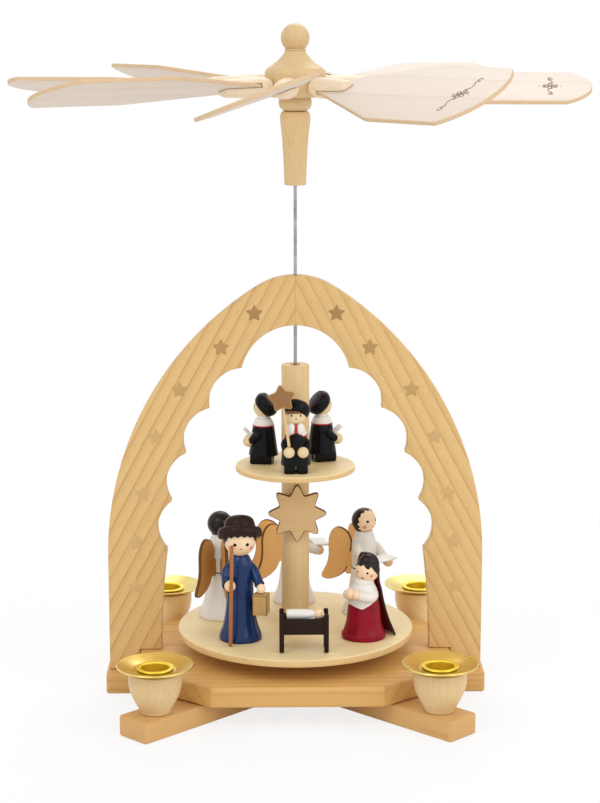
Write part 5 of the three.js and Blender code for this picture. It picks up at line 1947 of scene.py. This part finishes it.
@dataclass(frozen=True)
class Studio:
    """A white floor and sky, three soft lamps and the camera.

    The camera's place is in millimetres. A lamp has a name, a place and a size in metres, and
    watts. The floor and what it measures are in metres.
    """
    place: Triple = (-17.6, -1087.4, 374.5)
    tilt: Triple = (78.84, 0, -1.06)
    lens: float = 92.2
    sensor: float = 36
    far: float = 20
    lamps: tuple[tuple[str, Triple, float, float], ...] = (
        ("key", (-0.9, -1.1, 1.5), 0.9, 7.2), ("fill", (1.1, -0.9, 1.0), 1.3, 7.5),
        ("back", (0.2, 1.2, 1.5), 1.0, 8))
    middle: Triple = (0, 0, 0.16)
    sky: float = 0.76
    floor_half: float = 3.0
    floor_height: float = -0.0002
    floor_share: float = 0.8
    floor_fade: Pair = (0.2, 0.5)

    def build(self) -> None:
        """Makes the camera, the lamps, the sky and the floor."""
        scene = bpy.context.scene
        view = bpy.data.cameras.new("camera")
        view.lens, view.sensor_width, view.sensor_fit = self.lens, self.sensor, "AUTO"
        view.clip_end = self.far
        camera = bpy.data.objects.new("camera", view)
        camera.location = [c * MM for c in self.place]
        camera.rotation_euler = [math.radians(a) for a in self.tilt]
        scene.collection.objects.link(camera)
        scene.camera = camera
        scene.view_settings.view_transform = "Standard"
        for lamp in self.lamps:
            self.light(*lamp)
        self.make_sky(scene)
        self.make_floor(scene)

    def light(self, name: str, place: Triple, size: float, power: float) -> None:
        """Makes a square soft lamp that looks at the object's middle.

        Args:
            name: its name.
            place: where it is.
            size: the length of its sides.
            power: its power.
        """
        lamp = bpy.data.lights.new(name, "AREA")
        lamp.size, lamp.energy = size, power
        made = bpy.data.objects.new(name, lamp)
        matrix = aim(np.array(place) - np.array(self.middle))
        matrix[:3, 3] = place
        made.matrix_world = Matrix(matrix.tolist())
        bpy.context.scene.collection.objects.link(made)

    def seen(self, tree: NodeTree) -> Node:
        """1 for a camera, glossy or transmission ray, else 0.

        Args:
            tree: the world's nodes.
        Returns:
            The node whose value it is.
        """
        path = add_node(tree, "LightPath").outputs
        both = add_node(tree, "Math", {0: path["Is Camera Ray"], 1: path["Is Glossy Ray"]},
                        operation="MAXIMUM")
        return add_node(tree, "Math", {0: both, 1: path["Is Transmission Ray"]},
                        operation="MAXIMUM")

    def make_sky(self, scene: Scene) -> None:
        """A white background for what the camera and metal see, and softer light for the rest.

        Args:
            scene: takes the sky.
        """
        world = bpy.data.worlds.new("sky")
        world.use_nodes = True
        tree = world.node_tree
        tree.nodes.clear()
        light, white = (add_node(tree, "Background", {"Color": (1, 1, 1, 1), "Strength": strength})
                        for strength in (self.sky, 1.0))
        mixed = add_node(tree, "MixShader", {0: self.seen(tree), 1: light, 2: white})
        add_node(tree, "OutputWorld", {"Surface": mixed})
        scene.world = world

    def make_floor(self, scene: Scene) -> None:
        """A plain white floor that keeps a share of the object's shadow and is white far off.

        Args:
            scene: takes the floor.
        """
        half, low = self.floor_half, self.floor_height
        mesh = bpy.data.meshes.new("floor")
        mesh.from_pydata([(-half, -half, low), (half, -half, low), (half, half, low),
                          (-half, half, low)], [], [(0, 1, 2, 3)])
        floor = bpy.data.objects.new("floor", mesh)
        scene.collection.objects.link(floor)
        paper = bpy.data.materials.new("white paper floor")
        paper.use_nodes = True
        tree = paper.node_tree
        tree.nodes.clear()
        lit = add_node(tree, "BsdfDiffuse", {"Color": (0.92, 0.92, 0.92, 1)})
        white = add_node(tree, "Emission", {"Color": (1, 1, 1, 1), "Strength": 1.0})
        away = add_node(tree, "VectorMath", {
            0: add_node(tree, "TexCoord").outputs["Object"]}, operation="LENGTH")
        near, far = self.floor_fade
        share = add_node(tree, "MapRange", {
            "Value": away.outputs["Value"], "From Min": near, "From Max": far,
            "To Min": self.floor_share, "To Max": 1.0}, interpolation_type="SMOOTHSTEP")
        share = add_node(tree, "Math", {0: self.seen(tree), 1: share}, operation="MULTIPLY")
        mixed = add_node(tree, "MixShader", {0: share, 1: lit, 2: white})
        add_node(tree, "OutputMaterial", {"Surface": mixed})
        mesh.materials.append(paper)


def main() -> None:
    """Builds every sub-assembly in order and reports its pieces."""
    logging.basicConfig(level=logging.INFO, format="%(name)s: %(message)s")
    Studio().build()
    holders = [CandleHolder(name, bearing) for name, bearing in (
        ("front_left", 225), ("front_right", -45), ("rear_right", 45), ("rear_left", 135))]
    angels = [Angel(name, Stand(44.6, bearing, facing, LOWER_FLOOR)) for name, bearing, facing in (
        ("left", 158, 80), ("back", 90, 13), ("right", 29.8, -49))]
    singers = [Singer(name, Stand(18, bearing, facing, UPPER_FLOOR), load)
               for name, bearing, facing, load in (
                   ("front", 270, 270, Load.STAR), ("left", 163, 172, Load.BOOK),
                   ("right", 36, 16, Load.BOOK))]
    for group in (Base(), Arch(), *holders, Rotor(), Father(), Mother(), Crib(), *angels, *singers,
                  Fan()):
        for piece in group.pieces():
            made = piece.build()
            LOG.info("%s rides on %s, %d faces", made.name, piece.body, len(made.data.polygons))


if __name__ == "__main__":
    main()
